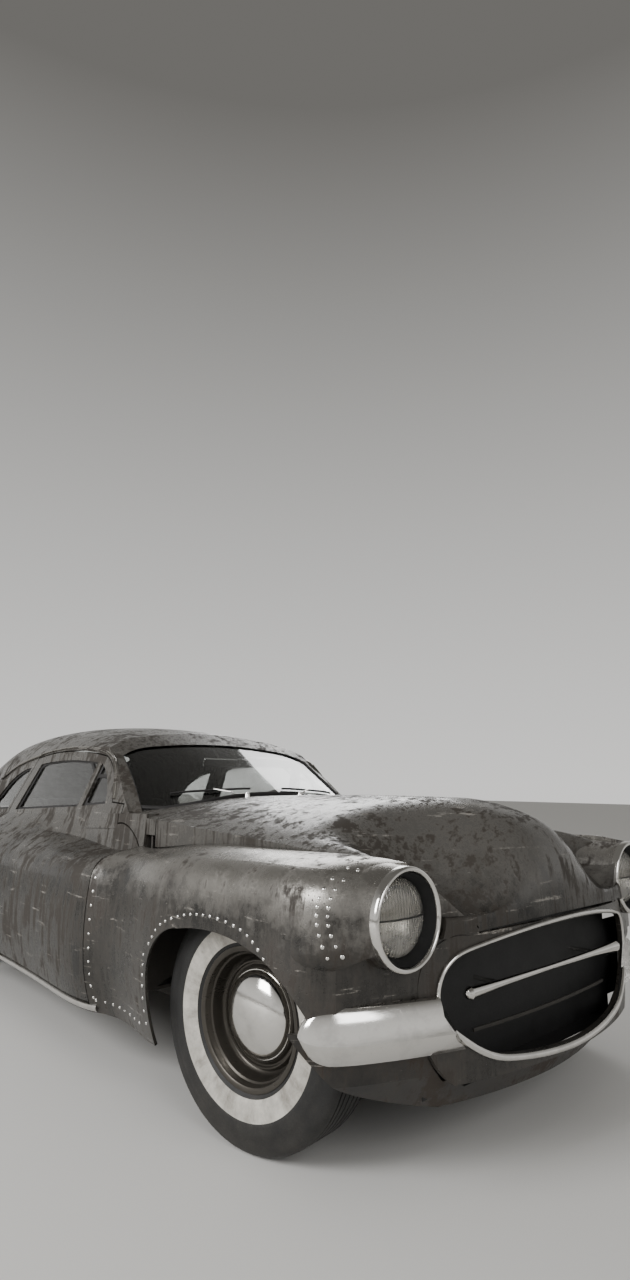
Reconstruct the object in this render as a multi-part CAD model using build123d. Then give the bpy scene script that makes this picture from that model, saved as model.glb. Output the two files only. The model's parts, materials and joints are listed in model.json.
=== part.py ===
from build123d import *
import os
from math import atan2, cos, degrees, radians, sin

os.makedirs("parts", exist_ok=True)

# A low, chopped early-1950s custom coupe, in millimetres.
# It faces -Y, its right side is -X, and it stands on z = 0.

# Stance
wheelbase = 2950.0
front_axle_y = -1750.0
rear_axle_y = front_axle_y + wheelbase
wheel_centre_x = 732.5
kingpin_x = 655.0
park_steer = 8.2
tyre_radius = 365.5
tyre_width = 195.0
rim_radius = 190.5
cap_radius = 63.5 * 2.0
cap_recess = 50.0

# Panels and the gaps between them
fender_wall = 14.0
side_wall = 60.0
roof_wall = 42.0
hood_wall = 14.0
glass_thickness = 6.0
gap = 6.0
seat_gap = 0.3

# Side outline, front to back, right half of each upright section
waist_z = 400.0
sill_z = 215.0
side_heading = -96.0
tuck_heading = -113.0
door_front_y = -930.0
door_rear_y = 700.0
sill_height = 36.0

# Glasshouse
glass_foot_z = 850.0
glass_head_z = 1340.0

# Frame
rail_x = 410.0
rail_width = 60.0
rail_height = 100.0
rail_low_z = 150.0
rail_front_z = 300.0
rail_kick_z = 450.0


def save(node, *solids):
    """Write one node from its solids."""
    pieces = [piece for solid in solids for piece in solid.solids()]
    export_step(pieces[0] if len(pieces) == 1 else Compound(children=pieces), f"parts/{node}.step")


def mirrored(solid):
    """The same piece on the other side of the car."""
    return mirror(solid, about=Plane.YZ)


def station(y, turn=0.0, pivot_x=0.0):
    """An upright plane across the car, turned about the upright line at pivot_x."""
    along = Vector(cos(radians(turn)), sin(radians(turn)), 0)
    facing = Vector(sin(radians(turn)), -cos(radians(turn)), 0)
    return Plane(origin=Vector(pivot_x, y, 0) - along * pivot_x, x_dir=along, z_dir=facing)


def side_plane(x):
    """A plane along the car, with Y across and Z up."""
    return Plane(origin=(x, 0, 0), x_dir=(0, 1, 0), z_dir=(1, 0, 0))


def along_x(face, x0, x1):
    """A prism through the car from side to side, from an outline in Y and Z."""
    return extrude(side_plane(x0) * face, x1 - x0, dir=(1, 0, 0))


def along_y(face, y0, y1):
    """A prism along the car, from an outline in X and Z."""
    return extrude(station(y1) * face, y1 - y0, dir=(0, -1, 0))


def along_z(face, z0, z1):
    """An upright prism, from an outline in X and Y."""
    return extrude(Plane.XY.offset(z0) * face, z1 - z0, dir=(0, 0, 1))


def block(x0, x1, y0, y1, z0, z1):
    """A box between two corners."""
    return Pos((x0 + x1) / 2, (y0 + y1) / 2, (z0 + z1) / 2) * Box(x1 - x0, y1 - y0, z1 - z0)


def polygon(*points):
    """A flat face with straight sides."""
    return make_face(Polyline(*points, close=True))


def inward(point, heading, wall):
    """A point moved square to its heading, towards the right-hand side."""
    return (point[0] + sin(radians(heading)) * wall, point[1] - cos(radians(heading)) * wall)


def mitre(point, heading_in, heading_out, wall):
    """A corner moved inward by the same wall on both of its sides."""
    half = radians(heading_out - heading_in) / 2
    middle = (heading_in + heading_out) / 2
    return inward(point, middle, wall / cos(half))


def chain(start, heading, steps):
    """Points and headings of arcs that flow on from each other.

    Each step is (chord length, heading at its end)."""
    joints = [(start, heading)]
    for length, after in steps:
        (x, z), before = joints[-1]
        way = radians((before + after) / 2)
        joints.append(((x + length * cos(way), z + length * sin(way)), after))
    return joints


def arcs(joints):
    """Tangent arcs through the joints of a chain."""
    return [
        TangentArc(a, b, tangent=(cos(radians(heading)), sin(radians(heading))))
        for (a, heading), (b, _) in zip(joints, joints[1:])
    ]


def offset_chain(joints, wall):
    return [(inward(point, heading, wall), heading) for point, heading in joints]


def side_chain(row):
    """The outer skin of a section, from the crease over the shoulder to the sill."""
    crease, (a0, top, a1), (radius, a2) = row["crease"], row["top"], row["shoulder"]
    round_chord = 2 * radius * sin(radians(a1 - a2) / 2)
    joints = chain(crease, a0, [(top, a1), (round_chord, a2)])
    for level, heading in ((waist_z, side_heading), (row.get("sill", sill_z), tuck_heading)):
        way = radians((joints[-1][1] + heading) / 2)
        length = (level - joints[-1][0][1]) / sin(way)
        joints += chain(*joints[-1], [(length, heading)])[1:]
    return joints


def both_sides(edges):
    """Edges of the left half and their reflection."""
    return edges + [mirror(edge, about=Plane.YZ) for edge in edges]


# Body sides behind the front fenders.
# Columns: y; belt (x, z); crease (x, z); top: heading, length, heading after; shoulder: radius, heading.
side_rows = [
    dict(y=-930, belt=(704, 932), crease=(716, 803), top=(-4, 150, -16), shoulder=(105, -82)),
    dict(y=-500, belt=(705, 918), crease=(726, 796), top=(-10, 145, -20), shoulder=(112, -82)),
    dict(y=0, belt=(705, 900), crease=(756, 822), top=(-28, 125, -36), shoulder=(140, -83)),
    dict(y=400, belt=(704, 888), crease=(768, 830), top=(-34, 118, -40), shoulder=(150, -83)),
    dict(y=800, belt=(690, 880), crease=(740, 842), top=(-20, 132, -30), shoulder=(138, -83)),
    dict(y=1200, belt=(668, 872), crease=(700, 846), top=(-7, 160, -20), shoulder=(125, -82)),
    dict(y=1700, belt=(610, 858), crease=(648, 838), top=(-6, 180, -21), shoulder=(118, -83)),
    dict(y=2150, belt=(540, 842), crease=(584, 822), top=(-8, 178, -24), shoulder=(108, -84)),
    dict(y=2400, belt=(440, 790), crease=(484, 772), top=(-10, 170, -28), shoulder=(90, -86)),
]


def side_section(row, wall):
    """One closed section of the body sides. With a wall it is the space inside them."""
    belt, crease = row["belt"], row["crease"]
    slope = degrees(atan2(crease[1] - belt[1], crease[0] - belt[0]))
    outer = side_chain(row)
    top_z, low_z = belt[1], outer[-1][0][1]
    if wall:
        belt = inward(belt, slope, wall)
        belt = (belt[0], row["belt"][1] + wall)
        start = mitre(crease, slope, outer[0][1], wall)
        outer = [(start, outer[0][1])] + offset_chain(outer[1:], wall)
        top_z, low_z = belt[1], low_z - wall
        foot = outer[-1][0]
        outer_line = [Line(foot, (foot[0], low_z)), Line((foot[0], low_z), (0, low_z))]
    else:
        foot = outer[-1][0]
        outer_line = [Line(foot, (foot[0], low_z - 1)), Line((foot[0], low_z - 1), (0, low_z - 1))]
    edges = [Line((0, top_z), belt), Line(belt, outer[0][0]), *arcs(outer), *outer_line]
    return station(row["y"]) * make_face(both_sides(edges))


def body_tub(wall=0.0):
    rows = side_rows
    if wall:
        last = dict(rows[-1], y=rows[-1]["y"] - wall)
        first = dict(rows[0], y=rows[0]["y"] - wall)
        rows = [first] + rows[:-1] + [last]
    return loft([side_section(row, wall) for row in rows])


# Front fenders, from the door to the lamp.
# turn tilts the section about the lamp's line, so that the front face sweeps back.
lamp_x = 687.0
lamp_z = 706.0
lamp_radius = 137.5
lamp_front_y = -2310.0
lamp_tunnel_wall = 11.0
face_y = -2262.0
face_turn = 18.0
apron_x = rail_x
apron_lift = 6.0
fender_rows = [
    dict(y=-936, turn=0, crease=(716, 803), top=(-4, 150, -16), shoulder=(105, -82), drop=45, inner=730),
    dict(y=-1350, turn=0, crease=(706, 836), top=(-3, 152, -16), shoulder=(108, -81), drop=45, inner=730),
    dict(y=-1750, turn=0, crease=(700, 852), top=(-3, 160, -16), shoulder=(110, -81), drop=45, inner=720),
    dict(y=-2060, turn=4, crease=(699, 858), top=(-2, 158, -17), shoulder=(108, -81), drop=45, inner=700),
    dict(y=-2190, turn=12, crease=(684, 857), top=(-1, 156, -18), shoulder=(102, -81), drop=30, inner=670),
    dict(y=face_y, turn=face_turn, crease=(652, 847), top=(2, 138, -18), shoulder=(94, -80), drop=8, inner=655),
]


def fender_section(row, wall):
    """One closed section of a front fender with its inner apron."""
    outer = side_chain(row)
    crease = row["crease"]
    gutter = (crease[0] - 5, crease[1] - row["drop"])
    inner_top = (apron_x, row["inner"])
    foot = outer[-1][0]
    inner_low = (apron_x, rail_front_z + rail_height + apron_lift)
    if wall:
        outer = [((crease[0] + wall, crease[1] - wall), outer[0][1])] + offset_chain(outer[1:], wall)
        gutter = (gutter[0] + wall, gutter[1] - wall)
        inner_top = (inner_top[0] + wall, inner_top[1] - wall)
        inner_low = (inner_low[0] + wall, inner_low[1] - 3 * wall)
        foot = (outer[-1][0][0], outer[-1][0][1] - 3 * wall)
    else:
        foot = (foot[0], foot[1] - 1)
    edges = [
        Line(inner_top, gutter),
        Line(gutter, outer[0][0]),
        *arcs(outer),
        Line(outer[-1][0], foot),
        Line(foot, inner_low),
        Line(inner_low, inner_top),
    ]
    return station(row["y"], row["turn"], lamp_x) * make_face(edges)


def fender_body(wall=0.0):
    rows = [dict(row) for row in fender_rows]
    if wall:
        rows[-1]["y"] += wall
        rows[0]["y"] += wall
    return loft([fender_section(row, wall) for row in rows])


# Hood and cowl: profiles along the car, from the peak outwards.
# Columns: x; heights at the crown, half way and at the rear; brow, front and lip (y, z).
hood_rear_y = -560.0
hood_crown_y = -1940.0
hood_base_z = 480.0
hood_rows = [
    dict(x=0, heights=(1015, 1011, 985), brow=(-2240, 957), front=(-2372, 792), lip=(-2382, 663)),
    dict(x=240, heights=(997, 998, 977), brow=(-2232, 940), front=(-2360, 782), lip=(-2371, 654)),
    dict(x=480, heights=(942, 956, 962), brow=(-2203, 893), front=(-2322, 764), lip=(-2337, 636)),
    dict(x=740, heights=(834, 884, 932), brow=(-2138, 810), front=(-2260, 732), lip=(-2280, 606)),
]
# The hood's sides stand along the fenders' creases. Columns: x, y
hood_side_line = [
    (640, -2310), (678, -2190), (693, -2060), (694, -1750), (699, -1350), (706, -936), (708, hood_rear_y),
]


def hood_section(row, wall):
    """One closed profile of the hood and cowl. With a wall it is the space under them."""
    crown_z, mid_z, rear_z = row["heights"]
    rear = (hood_rear_y, rear_z)
    mid = ((hood_rear_y + hood_crown_y) / 2, mid_z)
    base_z = hood_base_z
    points = [(hood_crown_y, crown_z), row["brow"], row["front"], row["lip"]]
    headings = [181.0]
    for (y0, z0), (y1, z1) in zip(points, points[1:]):
        way = degrees(atan2(z1 - z0, y1 - y0)) % 360
        headings.append(2 * way - headings[-1])
    nose = list(zip(points, headings))
    if wall:
        nose = [(inward(point, heading - 180, wall), heading) for point, heading in nose]
        rear, mid = (rear[0], rear[1] - wall), (mid[0], mid[1] - wall)
        base_z -= wall
    lip = nose[-1][0]
    edges = [
        ThreePointArc(rear, mid, nose[0][0]),
        *arcs(nose),
        Line(lip, (lip[0], base_z)),
        Line((lip[0], base_z), (rear[0], base_z)),
        Line((rear[0], base_z), rear),
    ]
    return side_plane(row["x"]) * make_face(edges)


def hood_body(wall=0.0):
    line = [(x - wall, y) for x, y in hood_side_line]
    plan = polygon((0, -2600), (line[0][0], -2600), *line, (0, hood_rear_y))
    half = loft([hood_section(row, wall) for row in hood_rows]) & along_z(plan, 300, 1200)
    return half + mirrored(half)


# Glasshouse.
# Columns: y; base (x, z) inside the body; rail (x, z); shoulder (x, z); crown z.
roof_rows = [
    dict(y=-820, base=(722, 860), rail=(612, 1195), shoulder=(430, 1222), crown=1240),
    dict(y=-400, base=(720, 850), rail=(624, 1222), shoulder=(430, 1278), crown=1304),
    dict(y=0, base=(718, 840), rail=(628, 1228), shoulder=(440, 1318), crown=1362),
    dict(y=420, base=(716, 830), rail=(626, 1203), shoulder=(440, 1326), crown=1389),
    dict(y=750, base=(706, 820), rail=(618, 1158), shoulder=(430, 1318), crown=1395),
    dict(y=1150, base=(680, 810), rail=(596, 1066), shoulder=(410, 1284), crown=1372),
    dict(y=1550, base=(636, 800), rail=(558, 965), shoulder=(385, 1186), crown=1282),
    dict(y=1950, base=(580, 780), rail=(510, 888), shoulder=(350, 1040), crown=1118),
    dict(y=2250, base=(510, 750), rail=(456, 834), shoulder=(315, 912), crown=954),
    dict(y=2396, base=(450, 720), rail=(400, 790), shoulder=(280, 832), crown=854),
]


def roof_section(row, wall):
    """One closed section of the glasshouse. With a wall it is the space inside it."""
    crown, shoulder, rail, base = (0, row["crown"]), row["shoulder"], row["rail"], row["base"]
    first = 2 * degrees(atan2(shoulder[1] - crown[1], shoulder[0]))
    second = 2 * degrees(atan2(rail[1] - shoulder[1], rail[0] - shoulder[0])) - first
    third = degrees(atan2(base[1] - rail[1], base[0] - rail[0]))
    floor_z = base[1]
    if wall:
        crown = (0, crown[1] - wall)
        shoulder = inward(shoulder, first, wall)
        rail = mitre(rail, second, third, wall)
        floor_z -= wall
        base = (base[0] - wall, floor_z)
    edges = [
        *arcs([(crown, 0), (shoulder, first), (rail, second)]),
        Line(rail, base),
        Line(base, (0, floor_z)),
    ]
    return station(row["y"]) * make_face(both_sides(edges))


def glasshouse(wall=0.0):
    rows = roof_rows
    if wall:
        rows = rows[:-1] + [dict(rows[-1], y=rows[-1]["y"] - side_wall)]
        rows = [dict(rows[0], y=rows[0]["y"] - wall)] + rows[1:]
    return loft([roof_section(row, wall) for row in rows])


def windscreen_front(shift=0.0):
    """Everything in front of the curved windscreen, moved back by shift."""
    # Columns: z, y at the centre, y at the pillars
    rows = [(glass_foot_z, -1182, -873), (glass_head_z, -262, -226)]
    half_width = 680.0
    faces = []
    for z, centre_y, pillar_y in rows:
        arc = ThreePointArc((-half_width, pillar_y), (0, centre_y), (half_width, pillar_y))
        ends = Polyline(
            (half_width, pillar_y), (half_width + 150, pillar_y),
            (half_width + 150, -1600), (-half_width - 150, -1600),
            (-half_width - 150, pillar_y), (-half_width, pillar_y),
        )
        faces.append(Plane.XY.offset(z) * make_face([arc, *ends.edges()]))
    return Pos(0, shift, 0) * loft(faces, ruled=True)


# Outlines seen from the side, in Y and Z
def door_outline():
    low_z = sill_z + sill_height
    return make_face([
        Line((door_front_y, low_z), (door_front_y, 720)),
        ThreePointArc((door_front_y, 720), (-880, 830), (-712, 880)),
        Line((-712, 880), (-700, 962)),
        Line((-700, 962), (-585, 968)),
        ThreePointArc((-585, 968), (-515, 1098), (-405, 1178)),
        ThreePointArc((-405, 1178), (0, 1213), (432, 1184)),
        Line((432, 1184), (656, 900)),
        ThreePointArc((656, 900), (690, 800), (door_rear_y, 660)),
        Line((door_rear_y, 660), (door_rear_y, low_z)),
        Line((door_rear_y, low_z), (door_front_y, low_z)),
    ])


def vent_window():
    return make_face([
        Line((-525, 962), (-290, 946)),
        Line((-290, 946), (-372, 1148)),
        ThreePointArc((-372, 1148), (-455, 1088), (-525, 962)),
    ])


def main_window():
    return make_face([
        Line((-240, 942), (555, 902)),
        Line((555, 902), (370, 1152)),
        ThreePointArc((370, 1152), (0, 1168), (-330, 1152)),
        Line((-330, 1152), (-240, 942)),
    ])


def quarter_window():
    return make_face([
        Line((690, 902), (980, 890)),
        ThreePointArc((980, 890), (1000, 915), (960, 960)),
        ThreePointArc((960, 960), (740, 1086), (510, 1134)),
        Line((510, 1134), (690, 902)),
    ])


def wheel_arch():
    """Opening over a wheel, from an outline about the axle."""
    return make_face([
        Line((350, -400), (350, 60)),
        ThreePointArc((350, 60), (290, 190), (160, 246)),
        ThreePointArc((160, 246), (-20, 262), (-200, 240)),
        ThreePointArc((-200, 240), (-330, 180), (-410, 80)),
        Line((-410, 80), (-425, -400)),
        Line((-425, -400), (350, -400)),
    ])


# Outer volumes and the space inside them
reach = 1100.0
hood_outer = hood_body()
hood_inner = hood_body(hood_wall)
hood_shell = hood_outer - hood_inner
tub_outer = body_tub()
tub_inner = body_tub(side_wall)
arch_cut = along_x(Pos(rear_axle_y, tyre_radius) * wheel_arch(), -reach, reach)
tub_shell = tub_outer - tub_inner - arch_cut
roof_inner = glasshouse(roof_wall)
roof_shell = glasshouse() - roof_inner - windscreen_front()

# Doors, with their window frames
door_face = door_outline()
door_hole = along_x(offset(door_face, gap, kind=Kind.INTERSECTION), -reach, reach)
door_block = along_x(door_face, -reach, -400)
side_windows = along_x(vent_window(), -reach, reach) + along_x(main_window(), -reach, reach)
# The rear edges lean forwards on their inner side, so that the door swings clear of them
shut_bevel = 6.0
frame_bevel = 13.0
shut_edge = Pos(-905, door_rear_y, 0) * Rot(0, 0, -shut_bevel) * block(0, 500, 0, 400, 0, 1400)
frame_corners = [(-745, 680, 835), (-689, 656, 900), (-631, 432, 1184)]


def behind_edge(low, high):
    """What lies behind a sloping rear edge of the window frame."""
    run = (Vector(*high) - Vector(*low)).normalized()
    back = run.cross(Vector(1, 0, 0)).normalized()
    inner = back.cross(run)
    facing = back * cos(radians(frame_bevel)) + inner * sin(radians(frame_bevel))
    return Plane(origin=low, x_dir=run, z_dir=facing) * block(-250, 600, -300, 300, 0, 300)


door_r = (tub_shell & door_block) + (roof_shell & door_block) - side_windows - shut_edge
for low, high in zip(frame_corners, frame_corners[1:]):
    door_r = door_r - behind_edge(low, high)
save("door_r", door_r)
save("door_l", mirrored(door_r))

glass_shell = glasshouse(roof_wall / 3) - glasshouse(roof_wall / 3 + glass_thickness)


def pane(outline):
    """Curved side glass that fills a window."""
    return glass_shell & along_x(offset(outline, -seat_gap), -reach, -400)


door_panes = [pane(vent_window()), pane(main_window())]
save("door_glass_r", *door_panes)
save("door_glass_l", *[mirrored(piece) for piece in door_panes])
quarter_pane = pane(quarter_window())
save("quarter_glass", quarter_pane, mirrored(quarter_pane))

# Boot lid on the sloping tail, and the rear window above it
tail_slope = 31.0
lid_width = 960.0
lid_length = 720.0
lid_corner = 90.0
lid_centre = (0, 2010, 1080)
lid_plane = Plane(
    origin=lid_centre,
    x_dir=(1, 0, 0),
    z_dir=(0, sin(radians(tail_slope)), cos(radians(tail_slope))),
)


def lid_prism(grow):
    face = RectangleRounded(lid_width + 2 * grow, lid_length + 2 * grow, lid_corner + grow)
    return extrude(lid_plane * face, 260, both=True)


boot_lid = roof_shell & lid_prism(0)
save("boot_lid", boot_lid)

rear_glass_y = 1395.0
rear_glass_width = 860.0
rear_glass_length = 290.0
rear_glass_corner = 110.0


def rear_opening(grow):
    face = RectangleRounded(
        rear_glass_width + 2 * grow, rear_glass_length + 2 * grow, rear_glass_corner + grow
    )
    return along_z(Pos(0, rear_glass_y) * face, 700, 1500)


save("rear_window", glass_shell & rear_opening(-seat_gap))

# Roof with its pillars, down to where it meets the body sides
side_openings = door_hole + along_x(quarter_window(), -reach, reach)
roof = roof_shell - side_openings - rear_opening(0) - lid_prism(gap) - tub_outer - hood_outer
roof = roof.solids().sort_by(SortBy.VOLUME)[-1]
save("roof", roof)

# Windscreen between the pillars, standing on the cowl
screen_depth = 16.0
screen = windscreen_front(screen_depth + glass_thickness) - windscreen_front(screen_depth)
screen = (screen & glasshouse(roof_wall + seat_gap)) - hood_outer - tub_shell
save("windscreen", screen.solids().sort_by(SortBy.VOLUME)[-1])

# Cowl and the body sides
cowl_front_y = -1000.0
scuttle_y = -690.0
scuttle_low_z = 690.0
tub_rest = tub_shell - door_hole
scuttle_zone = block(-reach, reach, door_front_y - 10, scuttle_y, scuttle_low_z, 1200)
cowl_zone = block(-reach, reach, cowl_front_y, scuttle_y, 500, 1200) & windscreen_front(screen_depth * 3)
cowl = ((hood_shell & cowl_zone) - door_hole) + (tub_rest & scuttle_zone)

tail_panel_half = 560.0
tail_panel_y = 2260.0
tail_zone = block(-tail_panel_half, tail_panel_half, tail_panel_y, 2600, 0, 1000)
tub_rear = tub_rest - scuttle_zone
quarters = (tub_rear - tail_zone).solids()
quarter_r = [piece for piece in quarters if piece.center().X < 0]
save("quarter_r", *quarter_r)
save("quarter_l", *[mirrored(piece) for piece in quarter_r])
save("tail_panel", tub_rear & tail_zone)

# Front fenders with their aprons
fender_inner = fender_body(fender_wall)
fender_outer = fender_body()
both_fenders = fender_outer + mirrored(fender_outer)
cowl = cowl - both_fenders - Pos(0, 0, gap) * both_fenders
save("cowl", cowl.solids().sort_by(SortBy.VOLUME)[-1])
fender = fender_outer - fender_inner
fender = fender - along_x(Pos(front_axle_y, tyre_radius) * wheel_arch(), 600, reach)
nose_low_z = 420.0
fender = fender - block(300, reach, -2500, front_axle_y - 300, 0, nose_low_z)


def lamp_bar(radius, y0, y1):
    """A round bar on the lamp's axis, between two places along the car."""
    return Pos(lamp_x, (y0 + y1) / 2, lamp_z) * Rot(90, 0, 0) * Cylinder(radius, y1 - y0)


ring_depth = 22.0
lens_radius = 92.0
tunnel_y = lamp_front_y + ring_depth
fender = fender + lamp_bar(lamp_radius, tunnel_y, face_y + 60)
fender = fender - lamp_bar(lamp_radius - lamp_tunnel_wall, tunnel_y - 50, face_y + 61)
firewall_y = -958.0
firewall_thickness = 12.0
apron_end = firewall_y - firewall_thickness / 2 - seat_gap
fender = fender - block(apron_x - 5, 690, apron_end, -900, 300, 900)


def front_plan(grow=0.0):
    """The nose seen from above, closed behind the front wheels' line."""
    sweep = ThreePointArc((0, -2400), (400, -2352), (780, -2218))
    corner = TangentArc(sweep @ 1, (932, -2075), tangent=sweep % 1)
    close = Line(corner @ 1, (932, -1900))
    back = Line((932, -1900), (0, -1900))
    face = make_face(both_sides([sweep, corner, close, back]))
    return offset(face, grow, kind=Kind.INTERSECTION) if grow else face


# Grille: opening, panel around it, chrome surround and bar
def grille_outline():
    end = ThreePointArc((490, 592), (562, 500), (500, 392))
    low = ThreePointArc((500, 392), (440, 350), (360, 316))
    return make_face([
        ThreePointArc((-490, 592), (0, 640), (490, 592)),
        *both_sides([end, low]),
        ThreePointArc((360, 316), (0, 290), (-360, 316)),
    ])


def fascia_outline():
    side = ThreePointArc((470, 640), (600, 590), (622, 480))
    low = ThreePointArc((622, 480), (600, 360), (520, 262))
    return make_face([
        ThreePointArc((-470, 640), (0, 655), (470, 640)),
        *both_sides([side, low]),
        Line((-520, 262), (520, 262)),
    ])


fascia_wall = 14.0
fascia = along_z(front_plan(), 200, 700) - along_z(front_plan(-fascia_wall), 200, 700)
fascia = fascia & along_y(fascia_outline(), -2500, -2150)
fascia = fascia - along_y(grille_outline(), -2500, -2100)
save("fascia", fascia)
fender = fender - along_y(offset(fascia_outline(), seat_gap), -2500, -2200)
fender = fender - lamp_bar(lamp_radius + seat_gap, lamp_front_y - 20, tunnel_y - seat_gap)
fender = fender.solids().sort_by(SortBy.VOLUME)[-1]
save("fender_front_l", fender)
save("fender_front_r", mirrored(fender))

# Hood lid: what stands clear of the fenders and the grille, in front of the cowl
hood_zone = block(0, 760, -2600, cowl_front_y - gap, 640, 1200) - along_y(fascia_outline(), -2600, -2100)
hood_half = (hood_shell & hood_zone) - along_y(offset(fascia_outline(), gap), -2600, -2100)
for shift in [(0, 0, 0), (0, 0, gap), (-gap, 0, 0), (-gap, 0, gap)]:
    hood_half = hood_half - Pos(*shift) * fender_outer
hood_half = hood_half - lamp_bar(lamp_radius + gap, lamp_front_y - 50, face_y + 100)
hood = hood_half.solids().sort_by(SortBy.VOLUME)[-1]
save("hood", hood + mirrored(hood))

surround_band = 20.0
surround_lip = 8.0
surround_proud = 12.0
surround = along_z(front_plan(surround_proud), 200, 700) - along_z(front_plan(seat_gap), 200, 700)
surround = surround & along_y(offset(grille_outline(), surround_band - surround_lip), -2500, -2150)
surround = surround - along_y(offset(grille_outline(), -surround_lip), -2600, -2100)
save("grille_surround", surround)

bar_y = -2330.0
bar_z = 486.0
bar_half = 475.0
bar_end_radius = 18.0
bar_mid_radius = 8.0
bar_line = [
    (bar_half, 0), (bar_half - 7, bar_end_radius * 0.7), (bar_half - 20, bar_end_radius),
    (bar_half - 45, bar_end_radius * 0.9), (bar_half * 0.6, bar_mid_radius * 1.4), (0, bar_mid_radius),
]
bar_profile = polygon(*bar_line, *[(-x, radius) for x, radius in reversed(bar_line[:-1])])
bar = revolve(bar_profile, Axis.X)
radiator_y = -2195.0
bracket_x = 300.0
bracket_radius = 7.0
bracket_length = radiator_y - bar_y - 2 * seat_gap
bracket = Pos(bracket_x, (bar_y + radiator_y) / 2, bar_z) * Rot(90, 0, 0) * Cylinder(bracket_radius, bracket_length)
save("grille_bar", Pos(0, bar_y, bar_z) * bar + bracket + mirrored(bracket))

# Headlamps
ring = lamp_bar(lamp_radius, lamp_front_y, tunnel_y - seat_gap) - lamp_bar(lens_radius, -2400, -2200)
ring_edge = ring.edges().filter_by(GeomType.CIRCLE).group_by(Axis.Y)[0].sort_by(SortBy.LENGTH)[-1]
ring = chamfer(ring_edge, 14)
save("headlamp_rings", ring, mirrored(ring))
lens_seat = lamp_radius - lamp_tunnel_wall - seat_gap
lens_dome = Pos(lamp_x, tunnel_y + 141, lamp_z) * Sphere(160)
lens = lamp_bar(lens_seat, tunnel_y, tunnel_y + 12)
lens = lens + (lens_dome & lamp_bar(lens_radius - seat_gap, lamp_front_y - 20, tunnel_y + 6))
save("headlamp_lenses", lens, mirrored(lens))

# Valance under the nose, from wheel to wheel
valance_wall = 10.0
# Columns: z, growth of the plan; the extra heights open the space inside at both ends
valance_levels = [(nose_low_z, 0), (290, -22), (175, -95)]
valance_space = [(nose_low_z + 10, 0), (290, -22), (165, -101)]


def stacked(plan, levels, inset=0.0):
    """A body through level outlines of one plan, grown by its own amount at each level."""
    return loft([Plane.XY.offset(z) * plan(grow - inset) for z, grow in levels], ruled=True)


valance = stacked(front_plan, valance_levels) - stacked(front_plan, valance_space, valance_wall)
wheel_side = polygon((-1800, 500), (-2078, 440), (-2090, 410), (-2240, 160), (-2240, 100), (-1800, 100))
valance = valance - along_x(wheel_side, -reach, reach)
valance = valance - along_y(offset(fascia_outline(), seat_gap), -2600, -2100)
save("valance", valance)

# Bumper corners on the valance
bumper_in_x = 440.0
# Columns: z, how far it stands out of the nose
bumper_levels = [(392, 26), (432, 46), (488, 36), (498, 24)]
bumper = stacked(front_plan, bumper_levels) - along_z(front_plan(seat_gap), 0, 600)
bumper = bumper & block(bumper_in_x, reach, -2600, -2150, 0, 600)
bumper = bumper - along_y(offset(grille_outline(), surround_band), -2600, -2100)
bumper = bumper - both_fenders - Pos(seat_gap, -seat_gap, 0) * both_fenders
bumper = bumper.solids().sort_by(SortBy.VOLUME)[-1]
save("bumper_corners", bumper, mirrored(bumper))

# Frame: two rails that dip between the axles, and their crossmembers
pipe_x, pipe_z, pipe_radius = 250.0, 190.0, 26.0
rear_rail_z = rail_kick_z - 40
rail_line = [
    (-2230, rail_front_z), (-1330, rail_front_z), (-1120, rail_low_z), (620, rail_low_z),
    (880, rail_kick_z), (1560, rail_kick_z), (1760, rear_rail_z), (2334, rear_rail_z),
]
rail_face = polygon(*rail_line, *[(y, z + rail_height) for y, z in reversed(rail_line)])
rail = along_x(rail_face, rail_x - rail_width / 2, rail_x + rail_width / 2)
inner_rail = rail_x - rail_width / 2
# Columns: y from, y to, z from, z to
crossmembers = [
    (-2230, -2170, rail_front_z, rail_front_z + 60),
    (front_axle_y - 70, front_axle_y + 70, rail_front_z - 60, rail_front_z + 20),
    (-420, -340, pipe_z + pipe_radius + seat_gap, rail_low_z + rail_height),
    (900, 960, rail_kick_z, rail_kick_z + 60),
    (2270, 2330, rear_rail_z, rear_rail_z + 60),
]
frame = rail + mirrored(rail)
for y0, y1, z0, z1 in crossmembers:
    frame = frame + block(-inner_rail - 1, inner_rail + 1, y0, y1, z0, z1)
save("frame", frame)

# Floor, firewall, wheelhouses and boot floor
floor_thickness = 12.0
floor_z = rail_low_z + rail_height + seat_gap
riser_y = 600.0
high_floor_z = rail_kick_z + rail_height + seat_gap
house_radius = 440.0
house_x = 590.0
outside = 1000.0


def at_rear_axle(solid):
    return Pos(0, rear_axle_y, tyre_radius) * Rot(0, 90, 0) * solid


def both_boxes(x0, x1, y0, y1, z0, z1):
    side = block(x0, x1, y0, y1, z0, z1)
    return side + mirrored(side)


house_skin = at_rear_axle(Cylinder(house_radius + floor_thickness, 2 * outside))
wheel_space = at_rear_axle(Cylinder(house_radius, 2 * outside))
wheel_space = wheel_space & both_boxes(house_x + floor_thickness, outside, 0, 2400, 0, 1000)
houses = (house_skin & both_boxes(house_x, outside, 0, 2400, high_floor_z, 1000)) - wheel_space
pan_half = 826.0
tunnel_half, tunnel_z = 96.0, 388.0
bell_half, bell_z, bell_y = 150.0, 430.0, -560.0
floor_low = block(-pan_half, pan_half, firewall_y, riser_y, floor_z, floor_z + floor_thickness)
riser = block(-pan_half, pan_half, riser_y, riser_y + floor_thickness, floor_z, high_floor_z + 1)
floor_high = block(-outside, outside, riser_y, 2400, high_floor_z, high_floor_z + floor_thickness)
pan = ((floor_low + riser) & (tub_inner + block(-pan_half, pan_half, -1000, -900, 0, 400)))
pan = pan + (((floor_high - wheel_space) + houses) & tub_inner)
firewall_half = firewall_thickness / 2
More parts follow.
